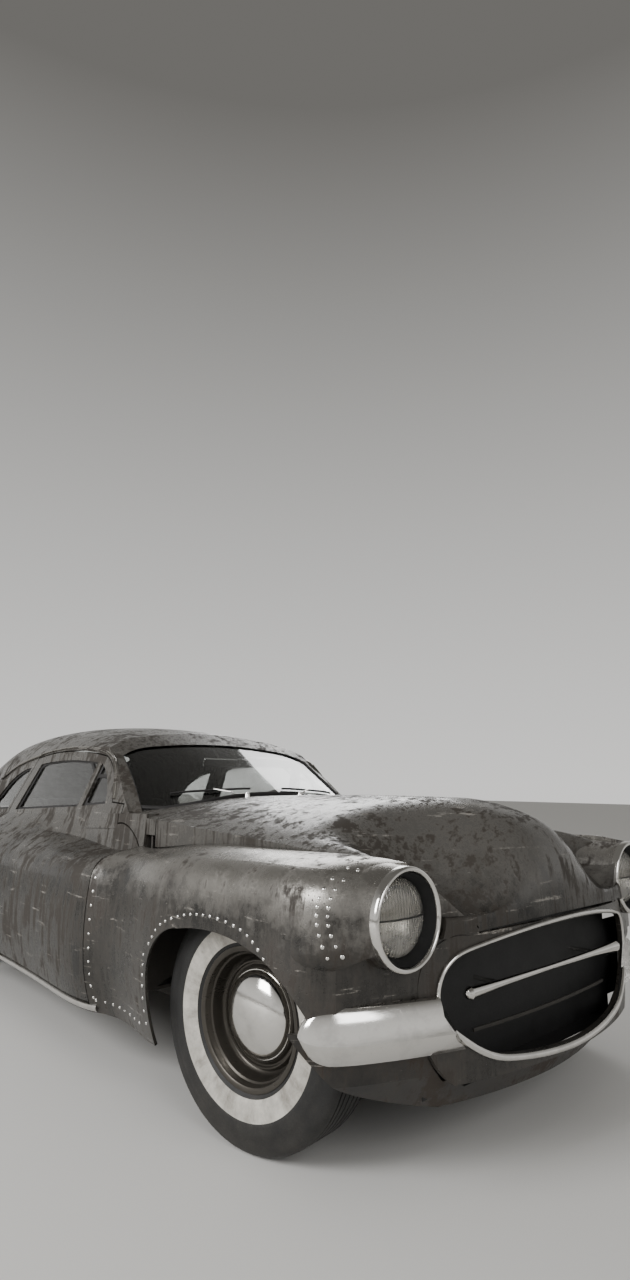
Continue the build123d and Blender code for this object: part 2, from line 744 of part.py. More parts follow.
firewall = block(-reach, reach, firewall_y - firewall_half, firewall_y + firewall_half, floor_z, 1100)
firewall = firewall & (hood_inner + fender_inner + mirrored(fender_inner))
# Columns: y from, y to, half width, top
tunnels = [(firewall_y - firewall_half, bell_y, bell_half, bell_z), (bell_y, riser_y, tunnel_half, tunnel_z)]
pan = pan + firewall
for y0, y1, half, top in tunnels:
    pan = pan + block(-half, half, y0, y1, floor_z, top)
for y0, y1, half, top in tunnels:
    inside = half - floor_thickness
    pan = pan - block(-inside, inside, y0 - 1, y1 - floor_thickness, 0, top - floor_thickness)
inside = tunnel_half - floor_thickness
pan = pan - block(-inside, inside, bell_y - 50, riser_y + 50, 0, tunnel_z - floor_thickness)
floor_pan = (pan - fender - mirrored(fender)).solids().sort_by(SortBy.VOLUME)[-1]
save("floor_pan", floor_pan)

bulkhead_y = 1100.0
shelf_z = 850.0
shelf = block(-900, 900, bulkhead_y, 1560, shelf_z, shelf_z + floor_thickness)
shelf_low = high_floor_z + floor_thickness + seat_gap
shelf = shelf + block(-900, 900, bulkhead_y, bulkhead_y + floor_thickness, shelf_low, shelf_z + 1)
shelf = (shelf & tub_inner) - house_skin - roof
save("rear_bulkhead", shelf.solids().sort_by(SortBy.VOLUME)[-1])

# Engine, radiator, driveline, exhaust and tank
engine_low_z = rail_front_z + 20
engine = block(-285, 285, -1960, -1200, engine_low_z + seat_gap, 860)
engine = chamfer(engine.edges().filter_by(Axis.Y).group_by(Axis.Z)[-1], 140)
save("engine_block", engine)
foot_x = apron_x - 3
radiator_low = rail_front_z + rail_height + seat_gap
radiator = block(-330, 330, radiator_y, radiator_y + 70, radiator_low, 700)
radiator = radiator + block(-foot_x, foot_x, radiator_y + 10, radiator_y + 50, radiator_low, radiator_low + 30)
save("radiator", radiator)


def bar_between(start, end, radius):
    """A round bar from one point to another."""
    run = Vector(*end) - Vector(*start)
    return extrude(Plane(origin=start, z_dir=run) * Circle(radius), run.length)


axle_z = tyre_radius
gearbox = block(-95, 95, -1200 + seat_gap, -900, 240, 400) + block(-70, 70, -901, -600, 250, 350)
shaft = bar_between((0, -602, 295), (0, rear_axle_y - 112, axle_z - 12), 30)
save("driveline", gearbox + shaft)
pipe_top = engine_low_z - pipe_radius - 4
pipe_path = FilletPolyline((pipe_x, -1500, pipe_top), (pipe_x, -1150, pipe_z), (pipe_x, 700, pipe_z), radius=200)
pipe = sweep(Plane(origin=pipe_path @ 0, z_dir=pipe_path % 0) * Circle(pipe_radius), path=pipe_path)
muffler = bar_between((pipe_x, -300, pipe_z), (pipe_x, 300, pipe_z), 50)
exhaust = pipe + muffler
save("exhaust", exhaust, mirrored(exhaust))
tank = block(-330, 330, 1640, 2240, 340, high_floor_z - 30)
tank = fillet(tank.edges().filter_by(Axis.Y), 40)
tank = tank + both_boxes(200, 260, 1700, 2180, high_floor_z - 31, high_floor_z - seat_gap)
save("fuel_tank", tank)


# Wheels, built on their own axis with the outer side at +X
def turned(points_and_arcs):
    return revolve(make_face(points_and_arcs), Axis.X)


def tyre_profile():
    half, shoulder = tyre_width / 2, 22.0
    bead_top = rim_radius + flange_height + 1
    wall_mid = (rim_radius + tyre_radius) / 2 - 8
    tread_half = half - shoulder
    return [
        Line((-bead_half, rim_radius), (bead_half, rim_radius)),
        Line((bead_half, rim_radius), (bead_half, bead_top)),
        ThreePointArc((bead_half, bead_top), (half, wall_mid), (tread_half + 8, tyre_radius - 12)),
        ThreePointArc((tread_half + 8, tyre_radius - 12), (tread_half, tyre_radius - 5), (tread_half - 14, tyre_radius)),
        Line((tread_half - 14, tyre_radius), (14 - tread_half, tyre_radius)),
        ThreePointArc((14 - tread_half, tyre_radius), (-tread_half, tyre_radius - 5), (-tread_half - 8, tyre_radius - 12)),
        ThreePointArc((-tread_half - 8, tyre_radius - 12), (-half, wall_mid), (-bead_half, bead_top)),
        Line((-bead_half, bead_top), (-bead_half, rim_radius)),
    ]


bead_half = 76.0
flange_height = 12.0
hub_face_x = -30.0
rim_wall = 8.0
tyre = turned(tyre_profile())
cap_face = tyre_width / 2 - cap_recess + 24
rim_in = rim_radius - seat_gap
flange_x = bead_half + seat_gap
rim_outline = Polyline(
    (-flange_x, rim_in), (flange_x, rim_in), (flange_x, rim_radius + flange_height),
    (flange_x + 6, rim_radius + flange_height), (flange_x + 6, rim_radius - 10), (58, rim_radius - 14),
    (20, rim_radius - 24), (12, 150), (18, cap_radius + 4), (22, cap_radius), (30, cap_radius),
    (cap_face - 8, cap_radius * 0.72), (cap_face, cap_radius * 0.35), (cap_face + 2, 0),
    (hub_face_x + seat_gap, 0), (hub_face_x + seat_gap, 130), (4, 140), (4, 160),
    (-6, rim_radius - 24), (-60, rim_radius - 14), (-flange_x, rim_radius - 8), close=True,
)
rim = revolve(make_face(rim_outline), Axis.X)


def on_axle(solid, side, y, steer=0.0):
    """Places a left-hand wheel piece at either end of an axle, turned about its kingpin."""
    piece = solid if side > 0 else mirrored(solid)
    piece = Pos(side * (wheel_centre_x - kingpin_x), 0, 0) * piece
    return Pos(side * kingpin_x, y, tyre_radius) * Rot(0, 0, steer) * piece


for name, side, y, steer in [
    ("fl", 1, front_axle_y, park_steer),
    ("fr", -1, front_axle_y, park_steer),
    ("rl", 1, rear_axle_y, 0.0),
    ("rr", -1, rear_axle_y, 0.0),
]:
    save(f"tyre_{name}", on_axle(tyre, side, y, steer))
    save(f"wheel_{name}", on_axle(rim, side, y, steer))

# Steering knuckles with their drums, and the arms that hold them
drum_radius = 138.0
post_half = 105.0
post_radius = 18.0
drum_in_x = -58.0
post_x = kingpin_x - wheel_centre_x
drum = Pos((hub_face_x + drum_in_x) / 2, 0, 0) * Rot(0, 90, 0) * Cylinder(drum_radius, hub_face_x - drum_in_x)
post = Pos(post_x, 0, 0) * Cylinder(post_radius, 2 * post_half)
spindle = Pos((post_x + drum_in_x) / 2, 0, 0) * Rot(0, 90, 0) * Cylinder(18, drum_in_x - post_x + 2)
knuckle = drum + post + spindle
save("knuckle_l", on_axle(knuckle, 1, front_axle_y, park_steer))
save("knuckle_r", on_axle(knuckle, -1, front_axle_y, park_steer))

# Front suspension: arms from the crossmember to flat seats above and below each kingpin post
seat_x = kingpin_x
arm_thickness = 24.0
arm_tip = 14.0
arm_low_z = tyre_radius - post_half - seat_gap - arm_thickness
arm_high_z = tyre_radius + post_half + seat_gap
suspension_x = rail_x - rail_width / 2 - seat_gap
arm_pivot_x = rail_x + rail_width / 2 + seat_gap


def arm(z, spread, pivot_z):
    """A flat arm that narrows from its pivots to the kingpin."""
    face = polygon(
        (arm_pivot_x, -spread), (seat_x, -arm_tip), (seat_x, arm_tip), (arm_pivot_x, spread)
    )
    plate = along_z(Pos(0, front_axle_y) * face, z, z + arm_thickness)
    plate = plate + Pos(seat_x, front_axle_y, z + arm_thickness / 2) * Cylinder(arm_tip, arm_thickness)
    foot_low, foot_high = min(z, pivot_z), max(z, pivot_z) + arm_thickness
    foot = block(arm_pivot_x, arm_pivot_x + 26, front_axle_y - spread, front_axle_y + spread, foot_low, foot_high)
    return plate + foot


low_arm = arm(arm_low_z, 150, rail_front_z + 10)
high_arm = arm(arm_high_z, 90, rail_front_z + 70)
save("suspension_arms", low_arm + high_arm, mirrored(low_arm + high_arm))

# Rear axle, its brakes and leaf springs
axle_tube = bar_between((-620, rear_axle_y, axle_z), (620, rear_axle_y, axle_z), 40)
diff = bar_between((-70, rear_axle_y, axle_z), (70, rear_axle_y, axle_z), 112)
rear_brake_in = 636.0
rear_brake_out = wheel_centre_x + hub_face_x
brake = Pos((rear_brake_in + rear_brake_out) / 2, rear_axle_y, axle_z) * Rot(0, 90, 0) * Cylinder(
    drum_radius, rear_brake_out - rear_brake_in
)
stub = bar_between((610, rear_axle_y, axle_z), (rear_brake_in + 5, rear_axle_y, axle_z), 40)
spring_x = 490.0
spring_width = 60.0
spring_top = ThreePointArc((650, 430), (rear_axle_y, 318), (1750, 430))
spring_low = ThreePointArc((650, 420), (rear_axle_y, 292), (1750, 420))
spring_face = make_face([
    spring_top, spring_low, Line(spring_top @ 0, spring_low @ 0), Line(spring_top @ 1, spring_low @ 1)
])
spring = along_x(spring_face, spring_x - spring_width / 2, spring_x + spring_width / 2)
spring_pad = block(spring_x - 35, spring_x + 35, rear_axle_y - 50, rear_axle_y + 50, 310, 345)
shackles = block(rail_x + rail_width / 2 + seat_gap, spring_x + 30, 640, 670, 415, 445)
shackles = shackles + block(rail_x + rail_width / 2 + seat_gap, spring_x + 30, 1730, 1760, 415, 470)
rear_side = brake + stub + spring + spring_pad + shackles
save("rear_axle", axle_tube + diff + rear_side + mirrored(rear_side))

# Seats, dashboard, steering wheel and mirror
seat_half = 640.0
bench_top = tunnel_z + 6
bench_base = block(-600, 600, -150, 420, floor_z + floor_thickness + seat_gap, bench_top)
bench_base = bench_base - block(-tunnel_half - 2, tunnel_half + 2, -200, 500, 0, tunnel_z + seat_gap)
save("bench_base", bench_base)


def cushion(x, y0, y1, z0, z1, radius, lean=0.0):
    pad = block(-x, x, y0, y1, z0, z1)
    pad = fillet(pad.edges(), radius)
    return Pos(0, y0, z0) * Rot(-lean, 0, 0) * Pos(0, -y0, -z0) * pad


save("front_bench", cushion(seat_half, -190, 330, bench_top + seat_gap, 510, 50),
     cushion(seat_half, 330 + seat_gap, 450, bench_top + seat_gap, 860, 40))
save("rear_bench", cushion(560, 620, 1000, high_floor_z + floor_thickness + seat_gap, 690, 45),
     cushion(560, 925, 1020, 694, 960, 40, 12))

dash_face = make_face([
    Line((-790, 700), (-790, 880)),
    ThreePointArc((-790, 880), (-730, 890), (-700, 840)),
    Line((-700, 840), (-710, 720)),
    Line((-710, 720), (-790, 700)),
])
dash = along_x(dash_face, -670, 670) & (tub_inner + block(-600, 600, -1000, -600, 500, 1000))
save("dashboard", (dash & hood_inner) + (dash & block(-600, 600, -800, -600, 700, 860)))

wheel_x = 360.0
column_low = (wheel_x, firewall_y + firewall_thickness / 2 + 12, 560)
column_high = (wheel_x, -420, 835)
column = bar_between(column_low, column_high, 24)
column_way = Vector(*column_high) - Vector(*column_low)
wheel_plane = Plane(origin=column_high, z_dir=column_way)
spokes = extrude(wheel_plane * Rectangle(400, 22), 10) + extrude(wheel_plane * Circle(38), 24)
save("steering_wheel", column + wheel_plane * Torus(205, 12) + spokes)

mirror_body = Pos(0, -440, 1165) * Rot(20, 0, 0) * block(-110, 110, -8, 8, -24, 24)
mirror_body = fillet(mirror_body.edges(), 7)
mirror_stalk = bar_between((0, -438, 1172), (0, -345, 1270), 6) - roof_shell
save("mirror", mirror_body + mirror_stalk.solids().sort_by(SortBy.VOLUME)[-1])

# Tail lamps, rear bumper
tail_lamp_x, tail_lamp_z, tail_lamp_radius = 640.0, 640.0, 58.0
tail_lamp = Pos(tail_lamp_x, 2400 + 12, tail_lamp_z) * Rot(90, 0, 0) * Cylinder(tail_lamp_radius, 24 - seat_gap)
save("tail_lamps", tail_lamp, mirrored(tail_lamp))


def rear_plan(grow=0.0):
    sweep = ThreePointArc((0, 2404), (400, 2392), (720, 2330))
    corner = TangentArc(sweep @ 1, (860, 2180), tangent=sweep % 1)
    close = Line(corner @ 1, (860, 2000))
    back = Line((860, 2000), (0, 2000))
    face = make_face(both_sides([sweep, corner, close, back]))
    return offset(face, grow, kind=Kind.INTERSECTION) if grow else face


rear_bumper = stacked(rear_plan, bumper_levels) - along_z(rear_plan(seat_gap), 0, 600)
rear_bumper = (rear_bumper & block(-reach, reach, 2150, 2600, 0, 600)) - tub_outer
save("bumper_rear", rear_bumper.solids().sort_by(SortBy.VOLUME)[-1])
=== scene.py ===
# %% [markdown]
# This scene dresses a low, chopped custom coupe from the early 1950s. The car's frame, panels and
# wheels come from its solid model, and this file gives every surface its finish and adds the trim:
# rubber seals, rivets, bright strips, tyres with whitewalls, seats and gauges. The solid model is
# loaded first, so that everything else can be placed on it by measuring it.

# %% Load the frame
import json
import math

import bpy
import bmesh
from mathutils import Matrix, Vector
from mathutils.bvhtree import BVHTree


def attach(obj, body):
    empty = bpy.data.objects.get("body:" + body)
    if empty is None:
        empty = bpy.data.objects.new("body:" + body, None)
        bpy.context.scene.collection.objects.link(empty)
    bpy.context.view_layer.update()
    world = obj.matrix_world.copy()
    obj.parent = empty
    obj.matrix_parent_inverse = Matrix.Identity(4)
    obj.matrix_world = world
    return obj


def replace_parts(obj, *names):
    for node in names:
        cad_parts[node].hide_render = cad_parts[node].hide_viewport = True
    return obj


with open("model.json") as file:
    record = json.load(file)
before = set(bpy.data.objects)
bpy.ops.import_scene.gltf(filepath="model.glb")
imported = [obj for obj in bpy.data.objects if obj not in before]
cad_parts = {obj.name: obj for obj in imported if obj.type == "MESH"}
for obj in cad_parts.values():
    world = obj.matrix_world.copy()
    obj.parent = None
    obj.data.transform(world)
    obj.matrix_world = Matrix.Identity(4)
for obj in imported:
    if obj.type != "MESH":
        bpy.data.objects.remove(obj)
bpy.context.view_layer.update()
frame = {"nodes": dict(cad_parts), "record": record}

nodes = frame["nodes"]
SIDES = (("left", 1), ("right", -1))


def put(name, data, body=None):
    """A new object in the scene, which rides on a body of the car if one is named."""
    made = bpy.data.objects.new(name, data)
    bpy.context.scene.collection.objects.link(made)
    if body:
        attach(made, body)
    return made


# %% [markdown]
# The camera stands low in front of the right-hand front wheel, a little lower than the roof, and
# tilts up. A camera matrix is built from its yaw, pitch and roll, because three plain angles say
# more to a reader than sixteen numbers.

# %% Camera
camera_place = Vector((-2.2373, -3.6036, 1.0628))
camera_yaw, camera_pitch, camera_roll = 0.7457, 0.2004, 0.0091
camera_lens = 19.81


def camera_matrix(place, yaw, pitch, roll):
    """Camera matrix from its place and angles in radians; yaw 0 looks along +Y."""
    ahead = Vector((math.sin(yaw) * math.cos(pitch), math.cos(yaw) * math.cos(pitch), math.sin(pitch)))
    level = Vector((math.cos(yaw), -math.sin(yaw), 0))
    up = level.cross(ahead)
    right = level * math.cos(roll) + up * math.sin(roll)
    top = up * math.cos(roll) - level * math.sin(roll)
    return Matrix.Translation(place) @ Matrix((right, top, -ahead)).transposed().to_4x4()


camera_data = bpy.data.cameras.new("camera")
camera_data.sensor_width = 36.0
camera_data.lens = camera_lens
camera_data.clip_end = 200.0
camera = put("camera", camera_data)
camera.matrix_world = camera_matrix(camera_place, camera_yaw, camera_pitch, camera_roll)
bpy.context.scene.camera = camera
print("camera at", [round(v, 2) for v in camera_place])

# %% [markdown]
# Every material below is a small tree of nodes. A node's output is held as a value, and a sum or
# a product of values adds the Math node that works it out, so that a tree reads like plain sums.

# %% Node helpers


class Value:
    """One output of a node."""

    def __init__(self, socket):
        self.socket = socket

    def __add__(self, other):
        return maths("ADD", self, other)

    def __sub__(self, other):
        return maths("SUBTRACT", self, other)

    def __rsub__(self, other):
        return maths("SUBTRACT", other, self)

    def __mul__(self, other):
        return maths("MULTIPLY", self, other)


def outputs_of(node):
    return {socket.name: Value(socket) for socket in node.outputs}


def feed(node, inputs):
    """Joins a node's inputs to values, or sets them to plain numbers."""
    for key, value in inputs.items():
        if isinstance(value, Value):
            node.id_data.links.new(value.socket, node.inputs[key])
        else:
            node.inputs[key].default_value = value


def add(tree, kind, inputs, **settings):
    """A node with its settings and inputs."""
    made = tree.nodes.new(kind)
    for name, value in settings.items():
        setattr(made, name, value)
    feed(made, inputs)
    return made


def tree_of(inputs):
    return next(value.socket.id_data for value in inputs.values() if isinstance(value, Value))


def value_of(kind, inputs, output=0, **settings):
    """One output of a new node, in the tree that its inputs come from."""
    return Value(add(tree_of(inputs), kind, inputs, **settings).outputs[output])


def maths(operation, a, b=0.0):
    return value_of("ShaderNodeMath", {0: a, 1: b}, operation=operation)


def held(value):
    """The same value, held between 0 and 1."""
    value.socket.node.use_clamp = True
    return value


def between(value, low, high, to_low=0.0, to_high=1.0):
    """A value stretched from one range to another and held inside it."""
    inputs = {"Value": value, "From Min": low, "From Max": high, "To Min": to_low, "To Max": to_high}
    return value_of("ShaderNodeMapRange", inputs, "Result")


def mixed(factor, a, b, **settings):
    return value_of("ShaderNodeMix", {0: factor, 6: a, 7: b}, 2, data_type="RGBA", **settings)


def noise(where, scale, detail=4.0, rough=0.55):
    inputs = {"Vector": where, "Scale": scale, "Detail": detail, "Roughness": rough}
    return value_of("ShaderNodeTexNoise", inputs)


def stretched(where, scale):
    return value_of("ShaderNodeMapping", {"Vector": where, "Scale": scale})


def along(axis, where):
    return value_of("ShaderNodeSeparateXYZ", {0: where}, axis)


def shader_group(name, inputs, outputs, build):
    """A shader node group; an input without a default is a vector, one with a tuple a colour."""
    tree = bpy.data.node_groups.new(name, "ShaderNodeTree")
    for key, value in inputs.items():
        kind = "Vector" if value is None else "Color" if isinstance(value, tuple) else "Float"
        socket = tree.interface.new_socket(key, in_out="INPUT", socket_type="NodeSocket" + kind)
        if value is not None:
            socket.default_value = value
    for key in outputs:
        kind = "Color" if key == "Color" else "Float"
        tree.interface.new_socket(key, in_out="OUTPUT", socket_type="NodeSocket" + kind)
    result = build(outputs_of(tree.nodes.new("NodeGroupInput")))
    feed(tree.nodes.new("NodeGroupOutput"), result)
    return tree


def use_group(group, inputs):
    return outputs_of(add(tree_of(inputs), "ShaderNodeGroup", inputs, node_tree=group))


print("node helpers ready")

# %% [markdown]
# The body is old paint that the weather has taken off in places. Three things happen on such a
# panel: broad patches fade, rust blooms out of small pits, and rain draws both into upright
# streaks. One node group holds all three, so that each panel can have its own share of them.

# %% Weathering group


def build_weathering(given):
    where = given["Vector"]
    broad, middle = noise(where, 2.2, 5.0, 0.6), noise(where, 9.0, 6.0, 0.65)
    fine = noise(where, 85.0, 5.0, 0.7)
    streak = noise(stretched(where, (26.0, 26.0, 1.6)), 1.0, 6.0, 0.72)
    scrape = noise(stretched(where, (3.0, 5.0, 60.0)), 1.0, 5.0, 0.7)
    patch = broad * 0.55 + middle * 0.45 + (streak - 0.5) * given["Streaks"]
    level = 0.72 - given["Rust share"] * 0.34
    rusty = between(patch - level + fine * 0.1, 0.02, 0.11)
    faded = between(patch + fine * 0.12, 0.42, 0.66)
    pits = value_of("ShaderNodeTexVoronoi", {"Vector": where, "Scale": 95.0, "Randomness": 1.0}, "Distance")
    pit_room = between(noise(where, 7.0, 3.0), 0.44, 0.62)
    pitted = held(between(pits, 0.1, 0.2, 1.0, 0.0) * pit_room)
    worn = held(between(scrape + fine * 0.2, 0.73, 0.8) * given["Scrapes"])
    mottle = between(fine, 0.3, 0.7, 0.78, 1.16)
    grey = value_of("ShaderNodeCombineColor", {0: mottle, 1: mottle, 2: mottle})
    colour = mixed(1.0, mixed(faded, given["Paint"], given["Faded"]), grey, blend_type="MULTIPLY")
    for share, shown in ((rusty, "Rust"), (pitted, "Pit"), (worn, "Bare")):
        colour = mixed(share, colour, given[shown])
    rough = held(rusty * 0.34 + faded * 0.1 + fine * 0.12 + pitted * 0.15 + given["Gloss floor"])
    height = fine * 0.5 - pitted * 0.7 + rusty * 0.4 - worn * 0.3
    sound = held(1.0 - maths("MAXIMUM", rusty, pitted))
    return {"Color": colour, "Roughness": rough, "Height": height, "Bare metal": worn * 0.8, "Sound": sound}


weathering = shader_group(
    "weathering",
    {
        "Vector": None, "Paint": (0.05, 0.04, 0.03, 1), "Faded": (0.12, 0.1, 0.08, 1),
        "Rust": (0.13, 0.06, 0.03, 1), "Pit": (0.02, 0.015, 0.01, 1), "Bare": (0.45, 0.42, 0.38, 1),
        "Rust share": 0.4, "Streaks": 0.3, "Scrapes": 0.6, "Gloss floor": 0.28,
    },
    ["Color", "Roughness", "Height", "Bare metal", "Sound"],
    build_weathering,
)
print("weathering group", len(weathering.nodes), "nodes")

# %% [markdown]
# Road dust settles on what is low and thins out with height. A second group gives that mask from
# the height above the ground and some noise, and rubber, metal and paint all use it.

# %% Dust and grain groups


def build_dust(given):
    where = given["Vector"]
    height = along("Z", where) + (noise(where, 14.0, 6.0, 0.7) - 0.5) * 0.7
    low = between(height, 0.0, given["Top"], 1.0, 0.0)
    specks = between(noise(where, 160.0, 3.0, 0.7), 0.4, 0.7, 0.5, 1.0)
    return {"Mask": held(low * specks * given["Share"])}


def build_grain(given):
    shared = {"Vector": given["Vector"], "Scale": given["Scale"]}
    cells = value_of("ShaderNodeTexVoronoi", shared, "Distance", feature="DISTANCE_TO_EDGE")
    creases = between(cells, 0.0, 0.16)
    soft = value_of("ShaderNodeTexNoise", {**shared, "Detail": 4.0})
    return {"Height": creases * 0.7 + soft * 0.5, "Creases": creases}


dust = shader_group("dust", {"Vector": None, "Top": 0.6, "Share": 0.6}, ["Mask"], build_dust)
grain = shader_group("grain", {"Vector": None, "Scale": 300.0}, ["Height", "Creases"], build_grain)
print("dust and grain groups ready")

# %% [markdown]
# A finish is one Principled shader with its colour, roughness and bump worked out by the groups.
# The values that stay the same all over, such as the sheen of leather, are set on the shader itself.

# %% Finish helpers


def new_finish(name, **fixed):
    """A material with its Principled shader and Object coordinates."""
    material = bpy.data.materials.new(name)
    material.use_nodes = True
    tree = material.node_tree
    shader = tree.nodes["Principled BSDF"]
    feed(shader, {key.replace("_", " "): value for key, value in fixed.items()})
    return material, shader, outputs_of(tree.nodes.new("ShaderNodeTexCoord"))["Object"]


def bump(shader, height, depth, strength=1.0):
    inputs = {"Height": height, "Distance": depth, "Strength": strength}
    feed(shader, {"Normal": value_of("ShaderNodeBump", inputs)})


def toned(colour, by):
    return tuple(min(1.0, by * v) for v in colour[:3]) + (1,)


def dust_on(where, top, share):
    return use_group(dust, {"Vector": where, "Top": top, "Share": share})["Mask"]


# Grey of bare metal, used both for worn-through paint and for the painted highlight on high panels
bare_metal_and_highlight_grey = (0.31, 0.295, 0.27, 1)
dust_colour = (0.125, 0.112, 0.094, 1)
pit_colour = (0.05, 0.03, 0.02, 1)


def old_paint(name, paint, faded, rust, share, streaks, scrapes, gloss, dusty=0.35, dust_top=0.5, wear_and_highlight_share=0.0):
    """Weathered paint, dusty on its lower parts and, higher up, in part worn to bright metal and in part
    lightened as a painted highlight.
    """
    material, shader, where = new_finish(name)
    worn = use_group(weathering, {
        "Vector": where, "Paint": paint, "Faded": faded, "Rust": rust, "Rust share": share,
        "Streaks": streaks, "Scrapes": scrapes, "Gloss floor": gloss,
    })
    settled = dust_on(where, dust_top, dusty)
    # Higher up the paint turns bare grey and metallic: partly real wear, partly a painted highlight on the
    # tops
    rise = along("Z", where) + (noise(where, 5.0, 6.0, 0.7) - 0.5) * 0.5
    rubbed_and_painted_highlight = held(between(rise, 0.66, 0.84) * worn["Sound"] * wear_and_highlight_share)
    feed(shader, {
        "Base Color": mixed(settled, mixed(rubbed_and_painted_highlight, worn["Color"], bare_metal_and_highlight_grey), dust_colour),
        "Roughness": held(worn["Roughness"] + settled * 0.4),
        "Metallic": maths("MAXIMUM", worn["Bare metal"], rubbed_and_painted_highlight),
    })
    bump(shader, worn["Height"], 0.0012, 0.6)
    return material


def plain_metal(name, colour, metallic, rough_low, rough_high, dusty=0.2, dust_top=0.6, pits=0.3):
    """Bright or dull metal with fine scratches, a few pits and some dust."""
    material, shader, where = new_finish(name, Metallic=metallic)
    scratches = noise(stretched(where, (40.0, 40.0, 220.0)), 1.0, 4.0, 0.7)
    clouds = noise(where, 12.0, 5.0, 0.6)
    pitted = held(between(noise(where, 130.0, 4.0, 0.75), 0.66, 0.74) * pits)
    settled = dust_on(where, dust_top, dusty)
    base = mixed(pitted, mixed(between(clouds, 0.5, 0.8, 0.0, 0.5), colour, toned(colour, 0.45)), pit_colour)
    rough = held(between(scratches + clouds * 0.5, 0.4, 1.1, rough_low, rough_high) + settled * 0.5)
    feed(shader, {"Base Color": mixed(settled, base, dust_colour), "Roughness": held(rough + pitted * 0.4)})
    bump(shader, scratches * 0.15 - pitted, 0.0003, 0.5)
    return material


def rubber(name, colour, scale=220.0, dusty=0.5, dust_top=0.8):
    """Rubber or moulded plastic with a fine skin and dust."""
    material, shader, where = new_finish(name)
    fine, broad = noise(where, scale, 5.0, 0.7), noise(where, 8.0, 4.0, 0.6)
    base = mixed(between(broad, 0.35, 0.7, 0.0, 0.6), colour, toned(colour, 2.4))
    feed(shader, {
        "Base Color": mixed(dust_on(where, dust_top, dusty), base, dust_colour),
        "Roughness": between(fine + broad, 0.6, 1.4, 0.5, 0.82),
    })
    bump(shader, fine, 0.0004, 0.6)
    return material


def leather(name, colour, scale=260.0, rough=0.42):
    """Worn leather cloth with its grain."""
    material, shader, where = new_finish(name, Sheen_Weight=0.15)
    skin = use_group(grain, {"Vector": where, "Scale": scale})
    broad = noise(where, 6.0, 5.0, 0.6)
    base = mixed(between(broad, 0.35, 0.7), colour, toned(colour, 1.9))
    feed(shader, {
        "Base Color": mixed(between(skin["Creases"], 0.0, 0.6, 0.55, 0.0), base, toned(colour, 0.5)),
        "Roughness": between(broad, 0.3, 0.7, rough, rough + 0.25),
    })
    bump(shader, skin["Height"], 0.0005, 0.5)
    return material


def clear_glass(name, colour, weight, rough, dirt=0.25):
    """Window or lamp glass with a film of dirt that darkens and dulls it."""
    material, shader, where = new_finish(name, IOR=1.5, Transmission_Weight=weight)
    film = between(noise(stretched(where, (5.0, 5.0, 2.0)), 1.0, 6.0, 0.7), 0.42, 0.75)
    feed(shader, {
        "Base Color": mixed(film * dirt, colour, toned(colour, 0.55)),
        "Roughness": between(film, 0.0, 1.0, rough, rough + 0.12),
    })
    return material


print("finish helpers ready")

# %% [markdown]
# Now the finishes themselves, one for each kind of surface on the car. The darkest are the old
# paint, the tyres and the grille's painted shade, the lightest the bright metal and the whitewalls.

# %% Finishes
finishes = {
    "body_paint": old_paint(
        "body paint", (0.006, 0.0054, 0.0046, 1), (0.03, 0.0265, 0.022, 1), (0.025, 0.02, 0.015, 1),
        0.55, 1.1, 0.55, 0.19, dusty=0.1, dust_top=0.4, wear_and_highlight_share=0.24,
    ),
    # The fenders' tops get the strongest share of wear and painted highlight
    "fender_paint": old_paint(
        "fender paint", (0.008, 0.0072, 0.006, 1), (0.036, 0.032, 0.027, 1), (0.027, 0.021, 0.016, 1),
        0.44, 0.6, 0.75, 0.18, dusty=0.14, dust_top=0.4, wear_and_highlight_share=0.9,
    ),
    "rusty_paint": old_paint(
        "rusty paint", (0.009, 0.008, 0.007, 1), (0.026, 0.022, 0.018, 1), (0.03, 0.022, 0.016, 1),
        0.62, 0.55, 0.5, 0.3, dusty=0.25, dust_top=0.35,
    ),
    "wheel_paint": plain_metal("wheel paint", (0.06, 0.054, 0.046, 1), 0.7, 0.2, 0.42, 0.2, 0.4, 0.5),
    "chassis_paint": plain_metal("chassis paint", (0.016, 0.014, 0.012, 1), 0.2, 0.5, 0.75, 0.35, 0.6, 0.4),
    "cast_iron": plain_metal("cast iron", (0.085, 0.078, 0.07, 1), 0.6, 0.5, 0.75, 0.4, 0.6, 0.5),
    "exhaust_steel": plain_metal("exhaust steel", (0.26, 0.21, 0.17, 1), 0.9, 0.4, 0.65, 0.5, 0.4, 0.8),
    "chrome": plain_metal("bright metal", (0.7, 0.685, 0.655, 1), 1.0, 0.05, 0.2, 0.12, 0.36, 0.6),
    "floor_paint": rubber("floor mat", (0.028, 0.025, 0.022, 1), 300.0, 0.5, 0.6),
    "dash_paint": old_paint(
        "dashboard paint", (0.045, 0.036, 0.028, 1), (0.085, 0.07, 0.055, 1), (0.06, 0.035, 0.02, 1),
        0.1, 0.05, 0.25, 0.22, dusty=0.0,
    ),
    "steering_plastic": rubber("steering plastic", (0.022, 0.019, 0.017, 1), 60.0, 0.0),
    "seat_cover": leather("seat leather", (0.034, 0.028, 0.023, 1)),
    "window_glass": clear_glass("window glass", (0.82, 0.84, 0.83, 1), 1.0, 0.0),
    "lamp_glass": clear_glass("lamp glass", (0.93, 0.92, 0.88, 1), 0.95, 0.02, 0.2),
    "tail_lens": clear_glass("tail lens", (0.42, 0.015, 0.01, 1), 0.6, 0.08, 0.3),
    "mirror": plain_metal("mirror back", (0.5, 0.5, 0.5, 1), 1.0, 0.08, 0.2, 0.0, 0.1, 0.1),
    "tyre": rubber("tyre rubber", (0.006, 0.0058, 0.0055, 1), 260.0, 0.2, 0.25),
}
